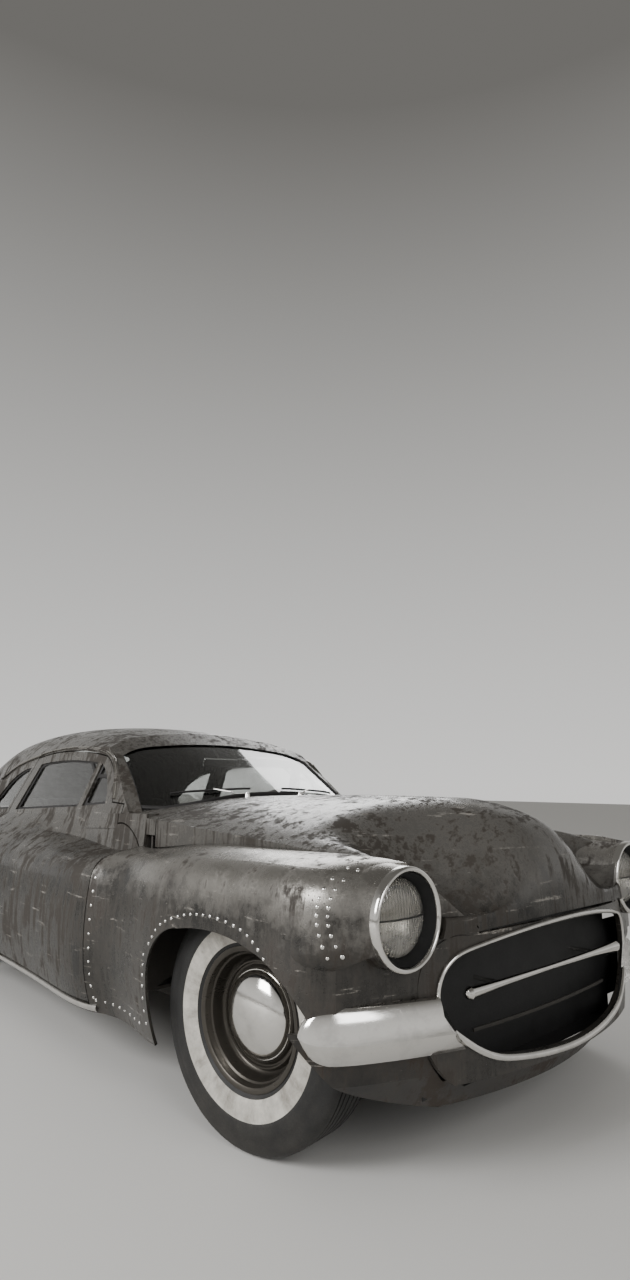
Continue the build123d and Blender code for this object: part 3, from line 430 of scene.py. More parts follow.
chrome, chassis_paint, wheel_paint = (finishes[key] for key in ("chrome", "chassis_paint", "wheel_paint"))
seal_rubber = rubber("seal rubber", (0.012, 0.011, 0.011, 1), 400.0, 0.0)
stitch_thread = rubber("piping", (0.17, 0.135, 0.1, 1), 500.0, 0.0)
# Plain black for dial faces and for the lamps' cones and split bars, and also the painted shade inside the
# grille
black_and_painted_shade = rubber("black and painted shade", (0.004, 0.004, 0.004, 1), 300.0, 0.0)
bowl_silver = plain_metal("lamp bowl silver", (0.78, 0.77, 0.74, 1), 1.0, 0.04, 0.16, 0.0, 0.1, 0.3)

# The headlamp's glass: upright flutes all over, and a lower half that is lighter and rougher
lamp_lens, lens_shader, lens_where = new_finish("lamp lens", IOR=1.5, Transmission_Weight=0.9)
flute_pitch, lens_middle = 0.011, 0.706
lens_film = between(noise(lens_where, 22.0, 6.0, 0.7), 0.35, 0.7, 0.25, 1.0)
lower_half = between(along("Z", lens_where), lens_middle + 0.001, lens_middle - 0.001)
lighter_lower_half = held(lower_half * lens_film)
feed(lens_shader, {
    "Base Color": mixed(lighter_lower_half, (0.5, 0.49, 0.46, 1), (0.92, 0.9, 0.86, 1)),
    "Roughness": between(lighter_lower_half, 0.0, 1.0, 0.06, 0.42),
})
bump(lens_shader, maths("SINE", along("X", lens_where) * (2 * math.pi / flute_pitch)), 0.0008, 0.6)
print(len(finishes) + 5, "finishes")

# %% Finishes on the model's own pieces
slot_of = {entry["node"]: entry["material_slot"] for entry in frame["record"]["subparts"]}
# The panel round the grille is painted like the fenders that it joins
shown_as = {"fascia": "fender_paint"}
for name, piece in nodes.items():
    for place in piece.material_slots:
        place.material = finishes[shown_as.get(name, slot_of[name])]
print("dressed", len(nodes), "nodes")

# %% [markdown]
# The car stands on a plain pale floor under a wide, even sky. The sky is a little brighter at the
# horizon, because old bright metal only looks like metal when it has something to mirror, and
# the strongest of three soft lamps, on the picture's left, gives the panels their shape.

# %% Floor, sky and lamps
floor_half = 40.0
floor_mesh = bpy.data.meshes.new("floor")
floor_corners = [(x * floor_half, y * floor_half, 0) for x, y in ((-1, -1), (1, -1), (1, 1), (-1, 1))]
floor_mesh.from_pydata(floor_corners, [], [(0, 1, 2, 3)])
floor_mesh.materials.append(new_finish("floor", Roughness=0.85, Base_Color=(0.62, 0.61, 0.59, 1))[0])
floor = put("floor", floor_mesh)

world = bpy.data.worlds.new("sky")
bpy.context.scene.world = world
world.use_nodes = True
sky = world.node_tree
sky_up = along("Z", outputs_of(sky.nodes.new("ShaderNodeTexCoord"))["Generated"])
seen_sky = mixed(between(sky_up, 0.0, 0.75), (0.9, 0.89, 0.87, 1), (0.16, 0.155, 0.145, 1))
rays = outputs_of(sky.nodes.new("ShaderNodeLightPath"))
seen = maths("MAXIMUM", rays["Is Glossy Ray"], rays["Is Transmission Ray"])
seen = maths("MAXIMUM", rays["Is Camera Ray"], seen)
sky_light = (0.42, 0.415, 0.4, 1)
feed(sky.nodes["Background"], {"Color": mixed(seen, sky_light, seen_sky)})


def soft_lamp(name, place, size, power):
    """A square lamp at a place, turned to face the car's middle."""
    data = bpy.data.lights.new(name, "AREA")
    data.shape = "SQUARE"
    data.size = size
    data.energy = power
    aimed = (Vector((0, 0, 0.7)) - Vector(place)).to_track_quat("-Z", "Y")
    put(name, data).matrix_world = Matrix.Translation(place) @ aimed.to_matrix().to_4x4()


soft_lamp("key lamp", (-7.0, -0.5, 4.0), 3.2, 560)
soft_lamp("front lamp", (-2.5, -8.5, 4.0), 3.5, 200)
soft_lamp("rear lamp", (6.0, 5.0, 5.0), 4.0, 240)
print("stage set")

# %% [markdown]
# Trim has to lie on the panels, and the panels are curved. A ray that is shot at the model answers
# where the surface is and which way it faces, so a strip or a rivet needs only its place as
# seen from the side or the front.

# %% Rays onto the panels


def ease(value, low, high):
    """From 0 to 1 between two values, with soft ends; the two may stand in either order."""
    share = max(0.0, min(1.0, (value - low) / (high - low)))
    return share * share * (3 - 2 * share)


def steps(low, high, count):
    return [low + (high - low) * i / (count - 1) for i in range(count)]


def ray_tree(*pieces):
    """One search tree for the faces of several pieces, given as nodes' names or as objects."""
    points, faces = [], []
    for piece in pieces:
        mesh = nodes[piece].data if isinstance(piece, str) else piece.data
        start = len(points)
        points += [vertex.co.copy() for vertex in mesh.vertices]
        faces += [[start + i for i in face.vertices] for face in mesh.polygons]
    return BVHTree.FromPolygons(points, faces)


def on_skin(tree, start, way):
    """Where a ray meets the panels, with the surface's own direction turned to face the ray."""
    place, facing, _, _ = tree.ray_cast(Vector(start), Vector(way))
    if place is None:
        return None
    return place, (-facing if facing.dot(Vector(way)) > 0 else facing)


FROM_RIGHT, FROM_FRONT, FROM_ABOVE = (1, 0, 0), (0, 1, 0), (0, 0, -1)
far = 3.0
side_skin = ray_tree("door_r", "quarter_r", "fender_front_r", "cowl", "roof", "door_glass_r", "quarter_glass")


def seen_from_right(tree, places):
    """What rays from the right meet at each (y, z); places that they miss are left out."""
    found = [on_skin(tree, (-far, y, z), FROM_RIGHT) for y, z in places]
    return [place for place in found if place]


def smooth_line(points, step):
    """Points at an even step along a smooth curve through a few given ones."""
    places = [Vector(p) for p in points]
    ends = [2 * places[0] - places[1]] + places + [2 * places[-1] - places[-2]]
    line = []
    for a, b, c, d in zip(ends, ends[1:], ends[2:], ends[3:]):
        count = max(1, round((c - b).length / step))
        for i in range(count):
            t = i / count
            bend = (2 * a - 5 * b + 4 * c - d) * t * t + (3 * b - a - 3 * c + d) * t ** 3
            line.append(0.5 * ((2 * b) + (c - a) * t + bend))
    return line + [places[-1]]


print("rays ready")

# %% [markdown]
# Long thin pieces are all swept: one small outline carried along a line that lies on a surface.
# The outline's own axes are the surface's direction and the direction across the line.

# %% Swept trim


def soften(made, sharp):
    """Smooth shading, except over edges that are sharper than an angle."""
    for face in made.faces:
        face.smooth = True
    for edge in made.edges:
        edge.smooth = len(edge.link_faces) != 2 or edge.calc_face_angle(0.0) < math.radians(sharp)


def new_piece(name, points, faces, finish, body="body", sharp=35.0, prepare=None, place=None):
    """A closed mesh as a piece of the car, welded, shaded and moved to its place."""
    mesh = bpy.data.meshes.new(name)
    mesh.from_pydata([tuple(p) for p in points], [], faces)
    for material in finish if isinstance(finish, list) else [finish]:
        mesh.materials.append(material)
    if prepare:
        prepare(mesh)
    made = bmesh.new()
    made.from_mesh(mesh)
    bmesh.ops.remove_doubles(made, verts=made.verts, dist=1e-6)
    bmesh.ops.recalc_face_normals(made, faces=made.faces)
    soften(made, sharp)
    made.to_mesh(mesh)
    made.free()
    if place:
        mesh.transform(place)
    return put(name, mesh, body)


def grid_faces(rows, columns, ring=True, tube=True):
    """Faces between rows of points; the rows may join into a ring, and each row into a loop."""
    faces = []
    for row in range(rows if ring else rows - 1):
        here, there = row * columns, (row + 1) % rows * columns
        for c in range(columns if tube else columns - 1):
            n = (c + 1) % columns
            faces.append((here + c, here + n, there + n, there + c))
    return faces


def shell_faces(quads, count):
    """Faces of a sheet with thickness, whose back repeats the front's points in the same order."""
    edges = [(quad[k - 1], quad[k]) for quad in quads for k in range(4)]
    known = set(edges)
    back = [tuple(count + i for i in reversed(quad)) for quad in quads]
    rim = [(b, a, count + a, count + b) for a, b in edges if (b, a) not in known]
    return quads + back + rim


def sweep_faces(count, around, closed):
    """Faces between rings of points, with caps where the line has ends."""
    faces = grid_faces(count, around, closed)
    if not closed:
        faces += [tuple(reversed(range(around))), tuple((count - 1) * around + j for j in range(around))]
    return faces


def sweep(name, line, outline, finish, body="body", closed=False):
    """An outline of (out, across) pairs, which may depend on the place, along a line."""
    points = []
    count = len(line)
    for i, (place, facing) in enumerate(line):
        before = line[(i - 1) % count][0] if closed or i > 0 else place
        after = line[(i + 1) % count][0] if closed or i < count - 1 else place
        ahead = (after - before).normalized()
        across = ahead.cross(facing).normalized()
        out = across.cross(ahead).normalized()
        pairs = outline(place) if callable(outline) else outline
        points += [place + out * o + across * a for o, a in pairs]
    return new_piece(name, points, sweep_faces(count, len(pairs), closed), finish, body)


def facing_one_way(places, way):
    """A line for a sweep whose places all face the same way."""
    return [(Vector(place), Vector(way)) for place in places]


def round_outline(radius, squash=1.0, count=10):
    turn = 2 * math.pi / count
    return [(radius * squash * math.cos(turn * i), radius * math.sin(turn * i)) for i in range(count)]


def flipped(piece, name=None, body="body"):
    """The same piece on the other side of the car, which is the left one unless it is named."""
    name = name or piece.name + "_left"
    mesh = piece.data.copy()
    mesh.name = name
    mesh.transform(Matrix.Diagonal((-1, 1, 1, 1)))
    mesh.flip_normals()
    return put(name, mesh, body)


print("sweeps ready")

# %% [markdown]
# Each window sits in a black rubber seal. Its line is the edge of the glass, which is found by
# shooting rays at the pane and halving the step until the last one that hits is known.

# %% Window seals


def pane_edge(node, middle, way, first, second, count=140):
    """Places along the rim of a pane, as seen along a direction, turning round a middle point."""
    tree = ray_tree(node)
    axis, across, up = Vector(way), Vector(first), Vector(second)
    line = []
    for i in range(count):
        turn = 2 * math.pi * i / count
        spoke = across * math.cos(turn) + up * math.sin(turn)
        low, high = 0.0, 1.6
        for _ in range(16):
            half = (low + high) / 2
            if on_skin(tree, Vector(middle) + spoke * half - axis * far, axis):
                low = half
            else:
                high = half
        line.append(on_skin(tree, Vector(middle) + spoke * (low - 0.001) - axis * far, axis))
    return line


def even_ring(line, step):
    """A closed line made again with even steps, so that corners get as many points as sides."""
    total = sum((a[0] - b[0]).length for a, b in zip(line, line[1:] + line[:1]))
    count = round(total / step)
    spaced, walked, want = [], 0.0, 0.0
    for (a, fa), (b, fb) in zip(line, line[1:] + line[:1]):
        length = (b - a).length
        while want <= walked + length and len(spaced) < count:
            share = (want - walked) / length if length else 0.0
            spaced.append((a.lerp(b, share), fa.lerp(fb, share).normalized()))
            want += total / count
        walked += length
    return spaced


SIDE, FRONT, PLAN = ((0, 1, 0), (0, 0, 1)), ((1, 0, 0), (0, 0, 1)), ((1, 0, 0), (0, 1, 0))
seal_outline = [
    (-0.004, -0.009), (0.003, -0.01), (0.006, -0.006), (0.006, 0.004), (0.003, 0.009), (-0.004, 0.009),
]
panes = [
    ("vent_seal", "door_glass_r", (0, -0.39, 1.03), FROM_RIGHT, SIDE, "door_right", "door_left"),
    ("window_seal", "door_glass_r", (0, 0.05, 1.04), FROM_RIGHT, SIDE, "door_right", "door_left"),
    ("quarter_seal", "quarter_glass", (0, 0.74, 0.98), FROM_RIGHT, SIDE, "body", "body"),
    ("windscreen_seal", "windscreen", (0, 0, 1.13), FROM_FRONT, FRONT, "body", None),
    ("rear_seal", "rear_window", (0, 1.395, 0), FROM_ABOVE, PLAN, "body", None),
]
for name, node, middle, way, axes, body, other_body in panes:
    line = even_ring(pane_edge(node, middle, way, *axes), 0.012)
    seal = sweep(name, line, seal_outline, seal_rubber, body, closed=True)
    if other_body:
        flipped(seal, body=other_body)
    print(name, len(line), "steps")

# %% [markdown]
# A drip rail runs from the windscreen's foot over the door and the quarter glass, and a bright strip
# covers the rocker between the wheels. Both are swept along a few places seen from the side.

# %% Drip rail and rocker strip
drip_places = [
    (-0.601, 0.985), (-0.571, 1.05), (-0.52, 1.125), (-0.425, 1.192), (-0.25, 1.222), (0.0, 1.231),
    (0.22, 1.222), (0.44, 1.199), (0.75, 1.15), (1.02, 1.072),
]
drip_curve = smooth_line([(y, z, 0) for y, z in drip_places], 0.02)
drip_line = seen_from_right(side_skin, [(p.x, p.y) for p in drip_curve])
drip_outline = [
    (-0.003, -0.004), (0.01, -0.008), (0.013, -0.004), (0.006, 0.001), (0.006, 0.006), (-0.003, 0.009),
]
strip_z, strip_front, strip_rear = 0.2325, -0.965, 0.8
strip_line = seen_from_right(side_skin, [(y, strip_z) for y in steps(strip_front, strip_rear, 106)])
strip_outline = [
    (-0.004, -0.014), (0.004, -0.013), (0.009, -0.005), (0.01, 0.003), (0.006, 0.012), (-0.004, 0.014),
]
flipped(sweep("drip_rail", drip_line, drip_outline, finishes["fender_paint"]))
flipped(sweep("rocker_strip", strip_line, strip_outline, chrome))
print("drip rail", len(drip_line), "steps; rocker strip", len(strip_line), "steps")

# %% [markdown]
# Each headlamp sits in a hood that flows out of the fender. From the lamp's rim a skin spreads
# back and outward until it meets the fender: rays toward the lamp's axis say how far out that is
# at each angle. Underneath, the skin keeps close to the lamp, so that it leaves a dark recess.

# %% Lamp hoods
lamp_x, lamp_y, lamp_z = 0.687, -2.31, 0.706
hood_front_y, hood_back_y, hood_radius, hood_skin_thickness = -2.2895, -2.095, 0.1374, 0.003
hood_angles, hood_steps = 96, 14
left_fender_skin = ray_tree("fender_front_l")
back_middle = Vector((lamp_x, hood_back_y, lamp_z))
hood_out, hood_in = [], []
for i in range(hood_angles):
    angle = 2 * math.pi * i / hood_angles
    way = Vector((math.cos(angle), 0, math.sin(angle)))
    found = on_skin(left_fender_skin, back_middle + way, -way)
    back_radius = (found[0] - back_middle).length if found else hood_radius
    degrees = math.degrees(angle) if angle < 1.5 * math.pi else math.degrees(angle) - 360
    share = ease(degrees, -62, -18) * ease(degrees, 165, 118)
    back_radius = hood_radius + (max(hood_radius, back_radius - 0.002) - hood_radius) * share
    for j in range(hood_steps):
        t = j / (hood_steps - 1)
        radius = hood_radius + (back_radius - hood_radius) * t * (2 - t)
        middle = Vector((lamp_x, hood_front_y + (hood_back_y - hood_front_y) * t, lamp_z))
        hood_out.append(middle + way * radius)
        hood_in.append(middle + way * (radius - hood_skin_thickness))
hood_faces = shell_faces(grid_faces(hood_angles, hood_steps, tube=False), len(hood_out))
lamp_hood = new_piece("lamp_hood_left", hood_out + hood_in, hood_faces, finishes["fender_paint"])
lamp_hood_right = flipped(lamp_hood, "lamp_hood_right")
print("lamp hoods", len(hood_faces), "faces each")

# %% [markdown]
# Front fenders of such a car are often patched, and the patch is held by rows of domed rivets. A
# rivet is modelled once, with few faces, and a Geometry Nodes tree sets it on every place of a row,
# turned to the panel. Places and directions are measured with rays.

# %% Rivet tree


def rivet_tree(name):
    """Geometry Nodes: a domed head on each point, facing as its attribute says."""
    tree = bpy.data.node_groups.new(name, "GeometryNodeTree")
    kinds = {"Geometry": "Geometry", "Radius": "Float", "Flatness": "Float", "Finish": "Material"}
    for key, kind in kinds.items():
        tree.interface.new_socket(key, in_out="INPUT", socket_type="NodeSocket" + kind)
    tree.interface.new_socket("Geometry", in_out="OUTPUT", socket_type="NodeSocketGeometry")
    given = outputs_of(tree.nodes.new("NodeGroupInput"))
    head = value_of("GeometryNodeMeshUVSphere", {"Segments": 12, "Rings": 8, "Radius": given["Radius"]})
    facing = add(tree, "GeometryNodeInputNamedAttribute", {"Name": "facing"}, data_type="FLOAT_VECTOR")
    turn = value_of("FunctionNodeAlignRotationToVector", {"Vector": Value(facing.outputs[0])}, axis="Z")
    size = add(tree, "FunctionNodeRandomValue", {"Seed": 7, 2: 0.85, 3: 1.12}, data_type="FLOAT")
    width = Value(size.outputs[1])
    scale = value_of("ShaderNodeCombineXYZ", {0: width, 1: width, 2: given["Flatness"]})
    heads = value_of("GeometryNodeInstanceOnPoints", {
        "Points": given["Geometry"], "Instance": head, "Rotation": turn, "Scale": scale,
    })
    smooth = value_of("GeometryNodeSetShadeSmooth", {0: value_of("GeometryNodeRealizeInstances", {0: heads})})
    finished = value_of("GeometryNodeSetMaterial", {0: smooth, "Material": given["Finish"]})
    feed(tree.nodes.new("NodeGroupOutput"), {0: finished})
    return tree


def made_by_tree(name, tree, line, body, **values):
    """A plain mesh from a Geometry Nodes tree over points with directions."""
    mesh = bpy.data.meshes.new(name + "_places")
    mesh.from_pydata([tuple(place) for place, _ in line], [], [])
    facing = mesh.attributes.new("facing", "FLOAT_VECTOR", "POINT")
    for i, (_, way) in enumerate(line):
        facing.data[i].vector = way
    holder = put(name + "_places", mesh)
    modifier = holder.modifiers.new("tree", "NODES")
    modifier.node_group = tree
    # Inputs are set by their socket's own identifier
    for item in tree.interface.items_tree:
        if item.item_type == "SOCKET" and item.in_out == "INPUT" and item.name in values:
            modifier[item.identifier] = values[item.name]
    seen = holder.evaluated_get(bpy.context.evaluated_depsgraph_get())
    result = bpy.data.meshes.new_from_object(seen)
    result.name = name
    bpy.data.objects.remove(holder)
    return put(name, result, body)


rivets = rivet_tree("rivet heads")
print("rivet tree", len(rivets.nodes), "nodes")

# %% Rows of rivets on the fenders
seam_y = -2.205
# Each row: places (y, z) seen from the side, and the step between rivets
rivet_rows = [
    ([(seam_y - 0.012, 0.832), (seam_y, 0.765), (seam_y - 0.002, 0.7), (seam_y - 0.03, 0.625)], 0.026),
    ([(seam_y + 0.014, 0.836), (seam_y + 0.028, 0.765), (seam_y + 0.026, 0.7), (seam_y, 0.62)], 0.026),
    ([(-2.06, 0.548), (-1.985, 0.613), (-1.9, 0.652), (-1.75, 0.668), (-1.62, 0.655), (-1.49, 0.61),
      (-1.42, 0.54)], 0.034),
    ([(-1.385, 0.5), (-1.375, 0.4), (-1.372, 0.28)], 0.04),
    ([(-0.955, 0.7), (-0.957, 0.55), (-0.958, 0.4), (-0.96, 0.27)], 0.045),
    ([(-1.3, 0.262), (-1.15, 0.262), (-0.97, 0.262)], 0.045),
]
fender_skin = ray_tree("fender_front_r", lamp_hood_right)
places = []
for corners, step in rivet_rows:
    row = smooth_line([(0, y, z) for y, z in corners], step)
    places += seen_from_right(fender_skin, [(point.y, point.z) for point in row])
crease_row = [on_skin(fender_skin, (-0.76, y, far), FROM_ABOVE) for y in (-2.185, -2.165, -2.145)]
places += [place for place in crease_row if place]
fender_rivets = made_by_tree(
    "fender_rivets", rivets, places, "body", Radius=0.0058, Flatness=0.5, Finish=bowl_silver,
)
flipped(fender_rivets)
print(len(places), "rivets on each fender")

# %% [markdown]
# A tyre and a wheel are round about one axis, so each is a profile turned through a full circle.
# The tyre's profile carries ribs, grooves and the two fine steps that edge the whitewall, and
# its map runs round the tyre, so that dirt on the whitewall can follow the rubber.

# %% Turning on the wheels' axis
wheel_turns = 144
kingpin_x, hub_reach, axle_height = 0.655, 0.0775, 0.3655
front_axle_y, rear_axle_y = -1.75, 1.2
park_steer = math.radians(8.2)
AXIS_UP = Matrix.Rotation(-math.pi / 2, 4, "Y")
AXIS_BACK, AXIS_FRONT = Matrix.Rotation(math.pi / 2, 4, "Z"), Matrix.Rotation(-math.pi / 2, 4, "Z")


def wheel_place(side, y, steer):
    """Where a wheel's own frame stands on the car; its outer side is +X."""
    turn = Matrix.Translation((side * kingpin_x, y, axle_height)) @ Matrix.Rotation(steer, 4, "Z")
    out = Matrix.Translation((side * hub_reach, 0, 0))
    return turn @ out @ (Matrix.Identity(4) if side > 0 else Matrix.Rotation(math.pi, 4, "Z"))


def turned_piece(name, profile, finish, place, body="body", parts=None):
    """A closed profile of (x, radius) turned about X; parts gives each stretch's finish."""
    count = len(profile)
    angles = [2 * math.pi * i / wheel_turns for i in range(wheel_turns)]
    points = [(x, r * math.cos(angle), r * math.sin(angle)) for angle in angles for x, r in profile]

    def wrap(mesh):
        """Finishes, and a map that runs round the piece."""
        layer = mesh.uv_layers.new(name="wrap")
        for i, face in enumerate(mesh.polygons):
            row, column = divmod(i, count)
            face.material_index = parts[column] if parts else 0
            corners = [(row, column), (row, column + 1), (row + 1, column + 1), (row + 1, column)]
            for loop, (a, b) in zip(face.loop_indices, corners):
                layer.data[loop].uv = (a / wheel_turns, b / count)

    return new_piece(name, points, grid_faces(wheel_turns, count), finish, body, 38.0, wrap, place)


def dome(x, depth, radius, count):
    """A quarter of an ellipse as a profile, from its rim to just before its tip."""
    turns = [math.pi / 2 * i / count for i in range(count)]
    return [(x + depth * math.sin(turn), radius * math.cos(turn)) for turn in turns]


print("lathe ready")

# %% Tyre and whitewall
whitewall, white_shader, white_where = new_finish("whitewall", Roughness=0.6)
white_map = outputs_of(add(white_shader.id_data, "ShaderNodeUVMap", {}, uv_map="wrap"))["UV"]
white_smear = noise(stretched(white_map, (26.0, 3.0, 1.0)), 1.0, 6.0, 0.7)
white_fine = noise(white_where, 150.0, 4.0, 0.7)
white_dirt = between(noise(white_where, 16.0, 6.0, 0.7), 0.38, 0.72) + between(white_smear, 0.45, 0.8)
white_dirt = held(white_dirt * 0.55 + white_fine * 0.25)
feed(white_shader, {"Base Color": mixed(white_dirt, (0.6, 0.575, 0.52, 1), (0.13, 0.115, 0.095, 1))})
bump(white_shader, white_fine, 0.0004, 0.5)

tyre_side = [
    (0.076, 0.191), (0.0785, 0.2), (0.082, 0.207), (0.0868, 0.214), (0.0872, 0.2152),
    (0.0905, 0.226), (0.0935, 0.24), (0.0955, 0.256), (0.0962, 0.273), (0.097, 0.2742),
    (0.0974, 0.282), (0.0968, 0.296), (0.0952, 0.31), (0.0946, 0.3112), (0.0925, 0.324), (0.0895, 0.337),
    (0.086, 0.348), (0.08, 0.357), (0.074, 0.3615),
]
groove_half, groove_depth, tread_radius = 0.003, 0.0075, 0.3655
tread = []
for middle in (0.06, 0.038, 0.0125, -0.0125, -0.038, -0.06):
    for across, depth in ((1, 0), (0.7, groove_depth), (-0.7, groove_depth), (-1, 0)):
        tread.append((middle + groove_half * across, tread_radius - depth))
tyre_profile = tyre_side + tread + [(-x, r) for x, r in reversed(tyre_side)]
white_from, white_to = 3, 7
tyre_parts = [1 if white_from <= i <= white_to else 0 for i in range(len(tyre_profile))]

# %% Steel wheel with its stepped rings and domed cap
wheel_profile = [
    (0.0763, 0.1902), (0.0763, 0.202), (0.079, 0.2042), (0.0823, 0.2022), (0.0826, 0.1935), (0.079, 0.187),
    (0.07, 0.1838), (0.06, 0.1815), (0.056, 0.1765), (0.04, 0.1735), (0.024, 0.17), (0.0165, 0.166),
    (0.013, 0.16), (0.02, 0.156), (0.0245, 0.152), (0.0245, 0.148), (0.019, 0.145), (0.019, 0.141),
    (0.026, 0.1375), (0.029, 0.133), (0.023, 0.1295), (0.018, 0.129), (0.018, 0.0), (-0.029, 0.0),
    (-0.029, 0.13), (0.003, 0.142), (0.004, 0.16), (-0.006, 0.1665), (-0.06, 0.1765),
    (-0.0763, 0.1825), (-0.0763, 0.1902),
]
cap_profile = [(0.02, 0.0), (0.02, 0.1285), (0.024, 0.13), (0.028, 0.1275)]
cap_profile += dome(0.028, 0.0455, 0.1255, 22) + [(0.0735, 0.0)]
tyre_finish = [finishes["tyre"], whitewall]
for end, y, steer in (("front", front_axle_y, park_steer), ("rear", rear_axle_y, 0.0)):
    for side_name, side in SIDES:
        name, node = "%s_%s" % (end, side_name), end[0] + side_name[0]
        body, place = "wheel_" + name, wheel_place(side, y, steer)
        tyre = turned_piece("tyre_" + name, tyre_profile, tyre_finish, place, body, tyre_parts)
        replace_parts(tyre, "tyre_" + node)
        steel = turned_piece("steel_wheel_" + name, wheel_profile, wheel_paint, place, body)
        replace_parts(steel, "wheel_" + node)
        turned_piece("hub_cap_" + name, cap_profile, chrome, place, body)
print("four wheels, tyre profile", len(tyre_profile), "points")

# %% [markdown]
# Seats of the time are wide benches in pleated leather cloth, with piping sewn round the edge. A
# pad is a rounded box whose faces bulge, and its pleats are pushed into the mesh as shallow valleys,
# so that the seams are real form. The pads stand in the space of the plain solids.

# %% Pleated pads
pleat_width, pad_corner, pad_bulge = 0.064, 0.045, 0.018


def pad(name, low, high, depth, lean):
    """A crowned pad with pleats along X, leaning back about its foot."""
    size = Vector(high) - Vector(low)
    half, middle = size / 2, (Vector(high) + Vector(low)) / 2
    made = bmesh.new()
    bmesh.ops.create_cube(made, size=1.0)
    for axis, length in enumerate(size):
        edges = [e for e in made.edges if abs((e.verts[0].co - e.verts[1].co)[axis]) > 0.5]
        bmesh.ops.subdivide_edges(made, edges=edges, cuts=max(4, round(length / 0.016)), use_grid_fill=True)
    for vertex in made.verts:
        place = Vector(vertex.co[i] * size[i] for i in range(3))
        core = Vector(max(-half[i] + pad_corner, min(half[i] - pad_corner, place[i])) for i in range(3))
        out = place - core
        facing = out.normalized() if out.length > 1e-6 else Vector((0, 0, 0))
        rounded = core + facing * pad_corner if out.length > 1e-6 else place
        reach = [1 - (rounded[i] / half[i]) ** 2 for i in range(3)]
        crown = pad_bulge * max(0.0, reach[0]) ** 0.35
        rounded.z += crown * max(0.0, reach[1]) * max(0.0, facing.z)
        rounded.y -= crown * max(0.0, reach[2]) * max(0.0, -facing.y)
        edge_room = min(1.0, max(0.0, (half.x - 0.07 - abs(rounded.x)) / 0.02))
        valley = (abs(math.cos(math.pi * rounded.x / pleat_width)) ** 6) * depth * edge_room
        vertex.co = rounded - facing * valley + middle
    for face in made.faces:
        face.smooth = True
    mesh = bpy.data.meshes.new(name)
    made.to_mesh(mesh)
    made.free()
    foot = Vector((0, low[1], low[2]))
    tilt = Matrix.Rotation(-math.radians(lean), 4, "X")
    mesh.transform(Matrix.Translation(foot) @ tilt @ Matrix.Translation(-foot))
    mesh.materials.append(finishes["seat_cover"])
    piece = put(name, mesh, "body")
    return piece


def piping(name, low, high, z, inset=0.012, r=0.03):
    """A sewn cord round the top edge of a cushion."""
    x, y0, y1 = high[0] - inset - r, low[1] + inset + r, high[1] - inset - r
    ring = []
    for cx, cy, start in ((x, y1, 0), (-x, y1, 90), (-x, y0, 180), (x, y0, 270)):
        for angle in (math.radians(start + 15 * i) for i in range(7)):
            ring.append((cx + r * math.cos(angle), cy + r * math.sin(angle), z))
    line = even_ring(facing_one_way(ring, (0, 0, 1)), 0.02)
    sweep(name, line, round_outline(0.0042), stitch_thread, closed=True)


# Name, low and high corner, depth of the pleats, lean in degrees, solid that it stands for
pads = [
    ("front_seat_cushion", (-0.64, -0.19, 0.3945), (0.64, 0.33, 0.505), 0.01, 0.0, "front_bench"),
    ("front_seat_back", (-0.64, 0.3305, 0.396), (0.64, 0.44, 0.85), 0.01, 3.0, "front_bench"),
    ("rear_seat_cushion", (-0.56, 0.622, 0.566), (0.56, 1.000, 0.684), 0.009, 0.0, "rear_bench"),
    ("rear_seat_back", (-0.56, 0.93, 0.696), (0.56, 1.012, 0.95), 0.009, 12.0, "rear_bench"),
]
for name, low, high, depth, lean, node in pads:
    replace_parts(pad(name, low, high, depth, lean), node)
piping("front_seat_piping", *pads[0][1:3], 0.492)
piping("rear_seat_piping", *pads[2][1:3], 0.671)
print("four pads and their piping")

# %% [markdown]
# The nose of the hood is a round bulge with a hollow on each side of it, down to the fenders. The
# solid hood is joined up into one skin, its long edges are cut, and then one smooth function of
# place lowers the skin in the two hollows and leaves its rim, which meets other panels, alone.

# %% Hood with its hollows
hollow_depth, longest_edge = 0.155, 0.035
hood_skin = bmesh.new()
hood_skin.from_mesh(nodes["hood"].data)
bmesh.ops.remove_doubles(hood_skin, verts=hood_skin.verts, dist=1e-5)
for _ in range(6):
    long_edges = [edge for edge in hood_skin.edges if edge.calc_length() > longest_edge]
    if not long_edges:
        break
    bmesh.ops.subdivide_edges(hood_skin, edges=long_edges, cuts=1)
    bmesh.ops.triangulate(hood_skin, faces=[face for face in hood_skin.faces if len(face.verts) > 3])
for vertex in hood_skin.verts:
    x, y, z = abs(vertex.co.x), vertex.co.y, vertex.co.z
    across = ease(x, 0.06, 0.42) * ease(x, 0.655, 0.52)
    vertex.co.z -= hollow_depth * across * ease(y, -1.8, -2.18) * ease(z, 0.67, 0.86)
soften(hood_skin, 32)
hood_mesh = bpy.data.meshes.new("hood_panel")
hood_skin.to_mesh(hood_mesh)
hood_skin.free()
hood_mesh.materials.append(finishes[slot_of["hood"]])
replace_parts(put("hood_panel", hood_mesh, "hood_lid"), "hood")
print("hood", len(hood_mesh.polygons), "faces")

# %% [markdown]
# The opening of the grille is drawn as six arcs in a flat outline. A thin bright moulding runs
# round it, fine at the top and stouter at the bottom, and rays tell how far forward each
# point of it lies on the curved nose.

# %% Grille moulding, black boxes of painted shade and low strip


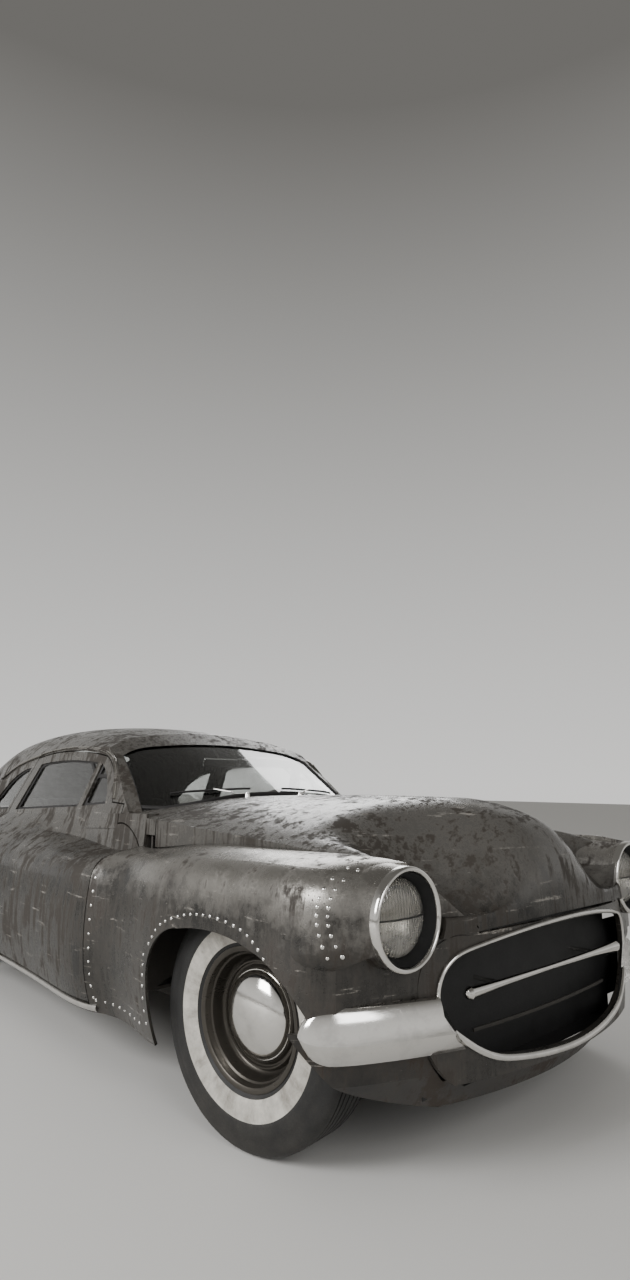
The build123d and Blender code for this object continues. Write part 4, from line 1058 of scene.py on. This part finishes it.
def circle_through(a, b, c):
    """Centre of the circle through three places in a plane."""
    (ax, ay), (bx, by), (cx, cy) = a, b, c
    d = 2 * (ax * (by - cy) + bx * (cy - ay) + cx * (ay - by))
    aa, bb, cc = ax * ax + ay * ay, bx * bx + by * by, cx * cx + cy * cy
    x = (aa * (by - cy) + bb * (cy - ay) + cc * (ay - by)) / d
    y = (aa * (cx - bx) + bb * (ax - cx) + cc * (bx - ax)) / d
    return x, y


def arc_through(a, b, c, count):
    """Points on the arc from a over b to c, without the last."""
    x, y = circle_through(a, b, c)
    start, middle, end = (math.atan2(p[1] - y, p[0] - x) for p in (a, b, c))
    radius = math.hypot(a[0] - x, a[1] - y)
    turn = (end - start) % (2 * math.pi)
    if (middle - start) % (2 * math.pi) > turn:
        turn -= 2 * math.pi
    angles = [start + turn * i / count for i in range(count)]
    return [(x + radius * math.cos(angle), y + radius * math.sin(angle)) for angle in angles]


grille_arcs = [
    ((-0.49, 0.592), (0.0, 0.64), (0.49, 0.592)), ((0.49, 0.592), (0.562, 0.5), (0.5, 0.392)),
    ((0.5, 0.392), (0.44, 0.35), (0.36, 0.316)), ((0.36, 0.316), (0.0, 0.29), (-0.36, 0.316)),
    ((-0.36, 0.316), (-0.44, 0.35), (-0.5, 0.392)), ((-0.5, 0.392), (-0.562, 0.5), (-0.49, 0.592)),
]
nose_skin = ray_tree("fascia", "valance", "fender_front_l", "fender_front_r")
grille_middle_z = 0.46
moulding = []
for x, z in (point for arc in grille_arcs for point in arc_through(*arc, 40)):
    out = Vector((x, 0, (z - grille_middle_z) * 2.6)).normalized()
    moulding.append(on_skin(nose_skin, (x + 0.01 * out.x, -far, z + 0.01 * out.z), FROM_FRONT))
moulding = even_ring([spot for spot in moulding if spot], 0.012)
for _ in range(14):
    around = zip(moulding[-1:] + moulding[:-1], moulding, moulding[1:] + moulding[:1])
    moulding = [((a[0] + b[0] * 2 + c[0]) / 4, b[1]) for a, b, c in around]
thin, stout = 0.0062, 0.0105


def moulding_outline(place):
    size = thin + (stout - thin) * ease(place.z, 0.46, 0.36)
    return [(1.1 * out + 0.004, across) for out, across in round_outline(size, 1, 12)]


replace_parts(sweep("grille_moulding", moulding, moulding_outline, chrome, closed=True), "grille_surround")
BOX_FACES = ((0, 1, 3, 2), (6, 7, 5, 4), (0, 4, 5, 1), (1, 5, 7, 3), (3, 7, 6, 2), (2, 6, 4, 0))


def add_box(points, faces, corners):
    """Adds a box by its eight corners, the last of their three choices changing fastest."""
    faces += [tuple(len(points) + i for i in quad) for quad in BOX_FACES]
    points += corners


def box_piece(name, low, high, finish):
    points, faces = [], []
    (x0, y0, z0), (x1, y1, z1) = low, high
    add_box(points, faces, [(x, y, z) for x in (x0, x1) for y in (y0, y1) for z in (z0, z1)])
    new_piece(name, points, faces, finish)


# Thin black boxes behind the grille's opening stand in for the shade inside the nose: painted shade
shade_box_y = -2.236
shade_box_back = shade_box_y - 0.002
box_piece("grille_painted_shade", (-0.56, shade_box_back, 0.21), (0.56, shade_box_y, 0.66), black_and_painted_shade)
# Painted shade behind the far ends of the opening: name, outer end, bottom, top
for level, reach_x, bottom, top in (("upper", 0.715, 0.421, 0.555), ("lower", 0.665, 0.285, 0.42)):
    for name, side in SIDES:
        low, high = sorted((side * 0.561, side * reach_x))
        wing = "grille_screen_%s_%s" % (level, name)
        box_piece(wing, (low, shade_box_back, bottom), (high, shade_box_y, top), black_and_painted_shade)
# A black tray under the opening is painted shade as well
box_piece("grille_painted_shade_tray", (-0.45, -2.3, 0.238), (0.45, shade_box_back, 0.24), black_and_painted_shade)
strip_low = facing_one_way([(x, -2.318 + 0.12 * x * x, 0.372) for x in steps(-0.4, 0.4, 21)], (0, -1, 0))
low_outline = [(-0.002, -0.005), (0.003, -0.005), (0.004, 0.0), (0.003, 0.005), (-0.002, 0.005)]
sweep("grille_low_strip", strip_low, low_outline, chassis_paint)
print("moulding", len(moulding), "steps")

# %% [markdown]
# A bumper corner wraps each end of the nose. Its upper face slopes out to a sharp ridge and its
# underside runs back to the valance. The line that it follows is the nose as seen from
# above: one broad arc and a tight one that leaves it smoothly. The shape shrinks to a rounded tip
# in front of the wheel, and its other end is cut to fit round the moulding.

# %% Bumper corners
nose_sweep = ((0.0, -2.4), (0.4, -2.352), (0.78, -2.218))
corner_end = Vector((0.932, -2.075))
bumper_z, bumper_tip_y = 0.408, -2.115
sweep_centre = Vector(circle_through(*nose_sweep))
corner_start = Vector(nose_sweep[2])
leaving = (corner_start - sweep_centre).normalized()
chord = corner_end - corner_start
corner_radius = chord.length_squared / (2 * -leaving.dot(chord))
corner_centre = corner_start - leaving * corner_radius
arrive = (corner_end - corner_centre).normalized()
broad_arc = [Vector(place) for place in arc_through(*nose_sweep, 80)]
flat_line = [(place, (place - sweep_centre).normalized()) for place in broad_arc if place.x > 0.36]
tight_arc = [leaving.lerp(arrive, share).normalized() for share in steps(0.0, 1.0, 61)]
tight_line = [(corner_centre + way * corner_radius, way) for way in tight_arc]
flat_line += [(place, way) for place, way in tight_line if place.y < bumper_tip_y]
bumper_line = [(Vector((p.x, p.y, bumper_z)), Vector((out.x, out.y, 0))) for p, out in flat_line]


def moulding_edge(z):
    """How far out the grille's moulding reaches at a height."""
    return max(p.x for p, _ in moulding if p.x > 0 and abs(p.z - z) < 0.012) + stout * 0.6


# Each corner of the outline: how far out, how far up from the line
bumper_outline = [
    (-0.002, -0.058), (0.01, -0.056), (0.026, -0.04), (0.04, -0.02), (0.0475, -0.004), (0.049, 0.002),
    (0.048, 0.008), (0.045, 0.026), (0.041, 0.046), (0.036, 0.064), (0.03, 0.078), (0.024, 0.085),
    (0.015, 0.088), (0.004, 0.086),
]
tip_length, bumper_rings, middle_up = 0.085, 72, 0.018
walked = [0.0]
for (a, _), (b, _) in zip(bumper_line, bumper_line[1:]):
    walked.append(walked[-1] + (b - a).length)


def on_bumper_line(distance):
    """Place and outward direction at a distance along the line."""
    for i in range(len(walked) - 1):
        if distance <= walked[i + 1]:
            share = (distance - walked[i]) / (walked[i + 1] - walked[i])
            (a, fa), (b, fb) = bumper_line[i], bumper_line[i + 1]
            return a.lerp(b, share), fa.lerp(fb, share).normalized()
    return bumper_line[-1]


row_starts = []
for _, up in bumper_outline:
    edge = moulding_edge(bumper_z + up)
    row_starts.append(next(w for w, (place, _) in zip(walked, bumper_line) if place.x >= edge))
points = []
for i in range(bumper_rings):
    for (out, up), begin in zip(bumper_outline, row_starts):
        distance = begin + (walked[-1] - begin) * i / (bumper_rings - 1)
        place, flat = on_bumper_line(distance)
        left = min(1.0, (walked[-1] - distance) / tip_length)
        size = math.sqrt(max(0.02, 1 - (1 - left) ** 2))
        rise = middle_up + (up - middle_up) * size
        points.append(place + flat * (out * (0.45 + 0.55 * size)) + Vector((0, 0, rise)))
bumper_faces = sweep_faces(bumper_rings, len(bumper_outline), False)
corner = new_piece("bumper_corner_left", points, bumper_faces, chrome, sharp=22.0)
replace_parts(corner, "bumper_corners")
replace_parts(flipped(corner, "bumper_corner_right"), "bumper_corners")
print("bumper corners", bumper_rings, "rings")

# %% [markdown]
# A headlamp is five turned pieces on one axis: a rounded chrome rim, a dark cone behind it, a
# fluted glass, a bright bowl and a bulb. A thin bar splits the glass at half its height.

# %% Headlamps
rim_profile = [
    (-0.0205, 0.1372), (-0.006, 0.1374), (-0.0005, 0.1362), (0.0035, 0.1335), (0.0055, 0.13), (0.005, 0.1262),
    (0.002, 0.123), (-0.004, 0.1208), (-0.0205, 0.1204),
]
cone_profile = [(-0.004, 0.12), (-0.042, 0.104), (-0.044, 0.1058), (-0.008, 0.1203)]
glass_profile = [(-0.041, 0.1038)] + dome(-0.04, 0.026, 0.103, 12) + [(-0.014, 0.0), (-0.017, 0.0)]
glass_profile += dome(-0.043, 0.026, 0.101, 12)[::-1]
bowl_profile = [(-0.045, 0.103)] + dome(-0.045, -0.065, 0.102, 14) + [(-0.11, 0.0), (-0.1125, 0.0)]
bowl_profile += dome(-0.0475, -0.065, 0.1045, 14)[::-1]
bulb_turns = [math.pi * i / 12 for i in range(13)]
bulb_profile = [(-0.075 - 0.016 * math.cos(turn), 0.015 * math.sin(turn)) for turn in bulb_turns]
# Piece, profile, finish, solid that it stands for
lamp_parts = [
    ("rim", rim_profile, chrome, "headlamp_rings"), ("cone", cone_profile, black_and_painted_shade, None),
    ("glass", glass_profile, lamp_lens, "headlamp_lenses"), ("bowl", bowl_profile, bowl_silver, None),
    ("bulb", bulb_profile, finishes["lamp_glass"], None),
]
split_outline = [(-0.001, -0.002), (0.002, -0.002), (0.002, 0.002), (-0.001, 0.002)]
for name, side in SIDES:
    place = Matrix.Translation((side * lamp_x, lamp_y, lamp_z)) @ AXIS_FRONT
    for part, profile, finish, node in lamp_parts:
        piece = turned_piece("lamp_%s_%s" % (part, name), profile, finish, place)
        if node:
            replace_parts(piece, node)
    split = []
    for share in steps(-1.0, 1.0, 17):
        rise = 0.026 * math.sqrt(max(0.0, 1 - (0.96 * share) ** 2))
        split.append((side * lamp_x + 0.0985 * share, lamp_y + 0.039 - rise, lamp_z))
    sweep("lamp_split_" + name, facing_one_way(split, (0, -1, 0)), split_outline, black_and_painted_shade)
print("two headlamps")

# %% [markdown]
# Wipers rest along the foot of the windscreen. Their blades and arms are swept along places that
# rays from above find on the glass and the cowl.

# %% Wipers
screen_skin = ray_tree("windscreen", "cowl")
blade_places = [(-0.5, -0.765), (-0.3, -0.812), (-0.1, -0.832)]
blade_outline = [
    (-0.006, -0.001), (-0.002, -0.004), (0.003, -0.004), (0.003, 0.004), (-0.002, 0.004), (-0.006, 0.001),
]
arm_places = [(-0.165, -0.9), (-0.225, -0.855), (-0.3, -0.812)]
wiper_parts = [
    ("wiper_blade", blade_places, 0.01, blade_outline, seal_rubber),
    ("wiper_arm", arm_places, 0.017, round_outline(0.0042, 0.6, 8), chrome),
]
wipers = []
for name, spots, lift, outline, finish in wiper_parts:
    curve = smooth_line([(x, y, 0) for x, y in spots], 0.02)
    found = [on_skin(screen_skin, (spot.x, spot.y, far), FROM_ABOVE) for spot in curve]
    line = [(place[0] + place[1] * lift, place[1]) for place in found if place]
    wipers.append(sweep(name, line, outline, finish))
for piece in wipers:
    flipped(piece)
pivot = on_skin(screen_skin, (*arm_places[0], far), FROM_ABOVE)[0]
pivot_profile = [(-0.004, 0.0), (-0.004, 0.014), (0.012, 0.012), (0.022, 0.008), (0.024, 0.0)]
boss = turned_piece("wiper_boss", pivot_profile, chrome, Matrix.Translation(pivot) @ AXIS_UP)
flipped(boss)
print("wipers")

# %% [markdown]
# Inside, the dashboard has two dials with plain ticks and a row of knobs, and the steering wheel
# gets a horn ring. Each is turned about its own axis, and so are the tail lamps' bezels.

# %% Dials, knobs and horn ring
dial_profile = [
    (-0.004, 0.0), (-0.004, 0.047), (0.006, 0.047), (0.009, 0.044), (0.006, 0.041), (0.001, 0.04),
    (0.001, 0.0),
]
dial_parts = [0, 0, 0, 0, 0, 1, 1]
knob_profile = [
    (-0.004, 0.0), (-0.004, 0.005), (0.01, 0.005), (0.012, 0.011), (0.02, 0.012), (0.024, 0.009),
    (0.025, 0.0),
]
dash_y, dial_z, knob_z = -0.7015, 0.805, 0.752
needle = Vector((math.sin(-2.1), 0, math.cos(-2.1)))


def turned_ways(angle):
    """The outward and the sideways direction at an angle, in a plane seen from the front."""
    return Vector((math.sin(angle), 0, math.cos(angle))), Vector((math.cos(angle), 0, -math.sin(angle)))


for i, x in enumerate((0.29, 0.43)):
    place = Matrix.Translation((x, dash_y, dial_z)) @ AXIS_BACK
    turned_piece("dial_%d" % i, dial_profile, [chrome, black_and_painted_shade], place, parts=dial_parts)
    points, faces = [], []
    for k in range(13):
        way, side = turned_ways(math.radians(-130 + 260 * k / 12))
        inner = 0.029 if k % 3 == 0 else 0.033
        add_box(points, faces, [
            Vector((x, dash_y + y, dial_z)) + way * r + side * s
            for y in (0.0012, 0.0022) for r in (inner, 0.037) for s in (-0.0008, 0.0008)
        ])
    new_piece("dial_ticks_%d" % i, points, faces, chrome)
    hub = Vector((x, dash_y + 0.004, dial_z))
    needle_line = facing_one_way([hub - needle * 0.008, hub + needle * 0.03], (0, 1, 0))
    sweep("needle_%d" % i, needle_line, round_outline(0.001, 1, 6), chrome)
for i, x in enumerate((-0.16, -0.08, 0.0, 0.08, 0.16)):
    place = Matrix.Translation((x, dash_y - 0.006, knob_z)) @ AXIS_BACK
    turned_piece("dash_knob_%d" % i, knob_profile, finishes["steering_plastic"], place)
wheel_centre = Vector((0.36, -0.42, 0.835))
column_turn = Vector((1, 0, 0)).rotation_difference(Vector((0, 0.526, 0.275)).normalized())
on_column = Matrix.Translation(wheel_centre) @ column_turn.to_matrix().to_4x4()
ring_profile = [(0.02 + out, 0.088 + across) for out, across in round_outline(0.0042)]
turned_piece("horn_ring", ring_profile, chrome, on_column)
horn_cap = [(0.022, 0.0), (0.022, 0.034), (0.028, 0.033), (0.033, 0.026), (0.036, 0.014), (0.037, 0.0)]
turned_piece("horn_cap", horn_cap, chrome, on_column)
bezel_profile = [
    (-0.0215, 0.0584), (-0.004, 0.0584), (0.002, 0.0592), (0.006, 0.0625), (0.004, 0.0665), (-0.004, 0.069),
    (-0.0215, 0.07),
]
for name, side in SIDES:
    place = Matrix.Translation((side * 0.64, 2.424, 0.64)) @ AXIS_BACK
    turned_piece("tail_lamp_bezel_" + name, bezel_profile, chrome, place)
print("dials, knobs, horn ring and tail lamp bezels")

# %% [markdown]
# The doors are lined with cards in the seats' leather. A grid of rays from inside the car finds the
# inner face of the door, and the card is that grid, lifted and given thickness, with shallow
# pleats below and a window crank and a handle on top.

# %% Door cards, cranks and handles


def lining(name, tree, start, way, firsts, seconds, lift, thickness, finish, body, relief):
    """A thin panel over a surface: rays along a way from start at each pair of steps."""
    front, back = [], []
    for b in seconds:
        for a in firsts:
            found = on_skin(tree, start(a, b), way)
            if not found:
                return None
            place = found[0] - Vector(way) * (lift + relief(a, b))
            front.append(place - Vector(way) * thickness)
            back.append(place)
    faces = shell_faces(grid_faces(len(seconds), len(firsts), False, False), len(front))
    return new_piece(name, front + back, faces, finish, body)


def card_relief(y, z):
    pleats = 0.004 * abs(math.sin(math.pi * y / 0.066)) ** 0.5 * ease(z, 0.6, 0.56)
    return pleats + 0.004 * ease(z, 0.575, 0.6)


door_tree = ray_tree("door_r")
card = lining(
    "door_card_right", door_tree, lambda y, z: (-0.3, y, z), (-1, 0, 0), steps(-0.8, 0.52, 133),
    steps(0.34, 0.7, 25), 0.001, 0.01, finishes["seat_cover"], "door_right", card_relief,
)
if card:
    flipped(card, "door_card_left", "door_left")
crank_boss = [(-0.002, 0.0), (-0.002, 0.02), (0.006, 0.019), (0.016, 0.01), (0.02, 0.0)]
levers = (("window_crank", -0.3, 0.63, 0.085, -0.055), ("door_handle", -0.02, 0.645, -0.095, 0.0))
for name, y, z, reach_y, reach_z in levers:
    base = on_skin(door_tree, (-0.3, y, z), (-1, 0, 0))[0] + Vector((0.014, 0, 0))
    boss = turned_piece(name + "_boss", crank_boss, chrome, Matrix.Translation(base), "door_right")
    tip = base + Vector((0.022, reach_y, reach_z))
    bend = [base + Vector((0.012, 0, 0)), (base + tip) / 2 + Vector((0.01, 0, 0)), tip]
    lever = sweep(name, facing_one_way(bend, (1, 0, 0)), round_outline(0.0058, 0.7), chrome, "door_right")
    flipped(boss, body="door_left")
    flipped(lever, body="door_left")
print("door cards and their levers", bool(card))

# %% [markdown]
# With the hood open the engine shows, so it gets what stands on every such block: a round air
# cleaner, two covers with their leads, a fan on its pulley and a hose to the radiator.

# %% Engine dressing
cleaner_profile = [
    (0.0, 0.0), (0.0, 0.06), (0.016, 0.062), (0.018, 0.128), (0.024, 0.133), (0.056, 0.133), (0.062, 0.128),
    (0.066, 0.11), (0.072, 0.1), (0.074, 0.02), (0.086, 0.01), (0.087, 0.0),
]
turned_piece("air_cleaner", cleaner_profile, wheel_paint, Matrix.Translation((0, -1.56, 0.859)) @ AXIS_UP)
cover_outline = [
    (-0.004, -0.055), (0.02, -0.055), (0.04, -0.04), (0.048, -0.015), (0.048, 0.015), (0.04, 0.04),
    (0.02, 0.055), (-0.004, 0.055),
]
for name, side in SIDES:
    cover_places = [(side * 0.205, y, 0.858) for y in steps(-1.88, -1.28, 31)]
    cover_line = facing_one_way(cover_places, Vector((side * 0.35, 0, 1)).normalized())
    sweep("valve_cover_" + name, cover_line, cover_outline, finishes["cast_iron"])
    for i, y in enumerate(steps(-1.82, -1.34, 4)):
        wire = [(side * 0.262, y, 0.885), (side * 0.3, y + 0.02, 0.82), (side * 0.296, y + 0.05, 0.74)]
        wire_line = facing_one_way(smooth_line(wire, 0.012), (0, 1, 0))
        sweep("plug_wire_%s_%d" % (name, i), wire_line, round_outline(0.0038, 1, 8), seal_rubber)
hose_places = [(0.12, -1.93, 0.845), (0.12, -1.99, 0.86), (0.11, -2.06, 0.8), (0.1, -2.13, 0.675)]
hose = facing_one_way(smooth_line(hose_places, 0.012), (1, 0, 0))
sweep("radiator_hose", hose, round_outline(0.021, 1, 14), seal_rubber)
pulley_profile = [
    (0.0, 0.0), (0.0, 0.07), (0.006, 0.072), (0.012, 0.06), (0.018, 0.072), (0.024, 0.07), (0.024, 0.02),
    (0.06, 0.018), (0.06, 0.0),
]
pulley_place = Matrix.Translation((0, -1.959, 0.6)) @ AXIS_FRONT
turned_piece("fan_pulley", pulley_profile, finishes["cast_iron"], pulley_place)
points, faces = [], []
for k in range(5):
    way, side = turned_ways(2 * math.pi * k / 5)
    add_box(points, faces, [
        Vector((0, -2.03 + depth + s * twist, 0.6)) + way * r + side * half * s
        for depth in (0.0, -0.002) for r, half, twist in ((0.012, 0.018, 0.006), (0.175, 0.052, 0.016))
        for s in (-1, 1)
    ])
new_piece("fan", points, faces, wheel_paint)
print("engine dressed")

# %% [markdown]
# The roof is lined with dark cloth, and two pedals hang in front of the driver's feet.

# %% Headliner and pedals
headliner = lining(
    "headliner", ray_tree("roof"), lambda x, y: (x, y, 1.05), (0, 0, 1), steps(-0.42, 0.42, 43),
    steps(-0.22, 1.1, 67), 0.002, 0.004, finishes["floor_paint"], "body",
    lambda x, y: 0.003 * abs(math.sin(math.pi * y / 0.22)) ** 0.4,
)
for i, x in enumerate((0.275, 0.395)):
    box_piece("pedal_%d" % i, (x, -0.872, 0.375), (x + 0.062, -0.86, 0.435), seal_rubber)
    rod = [(x + 0.031, y, z) for y, z in ((-0.873, 0.41), (-0.905, 0.47), (-0.955, 0.54))]
    sweep("pedal_rod_%d" % i, facing_one_way(rod, (1, 0, 0)), round_outline(0.006, 1, 8), chassis_paint)
print("headliner", bool(headliner), "and two pedals")
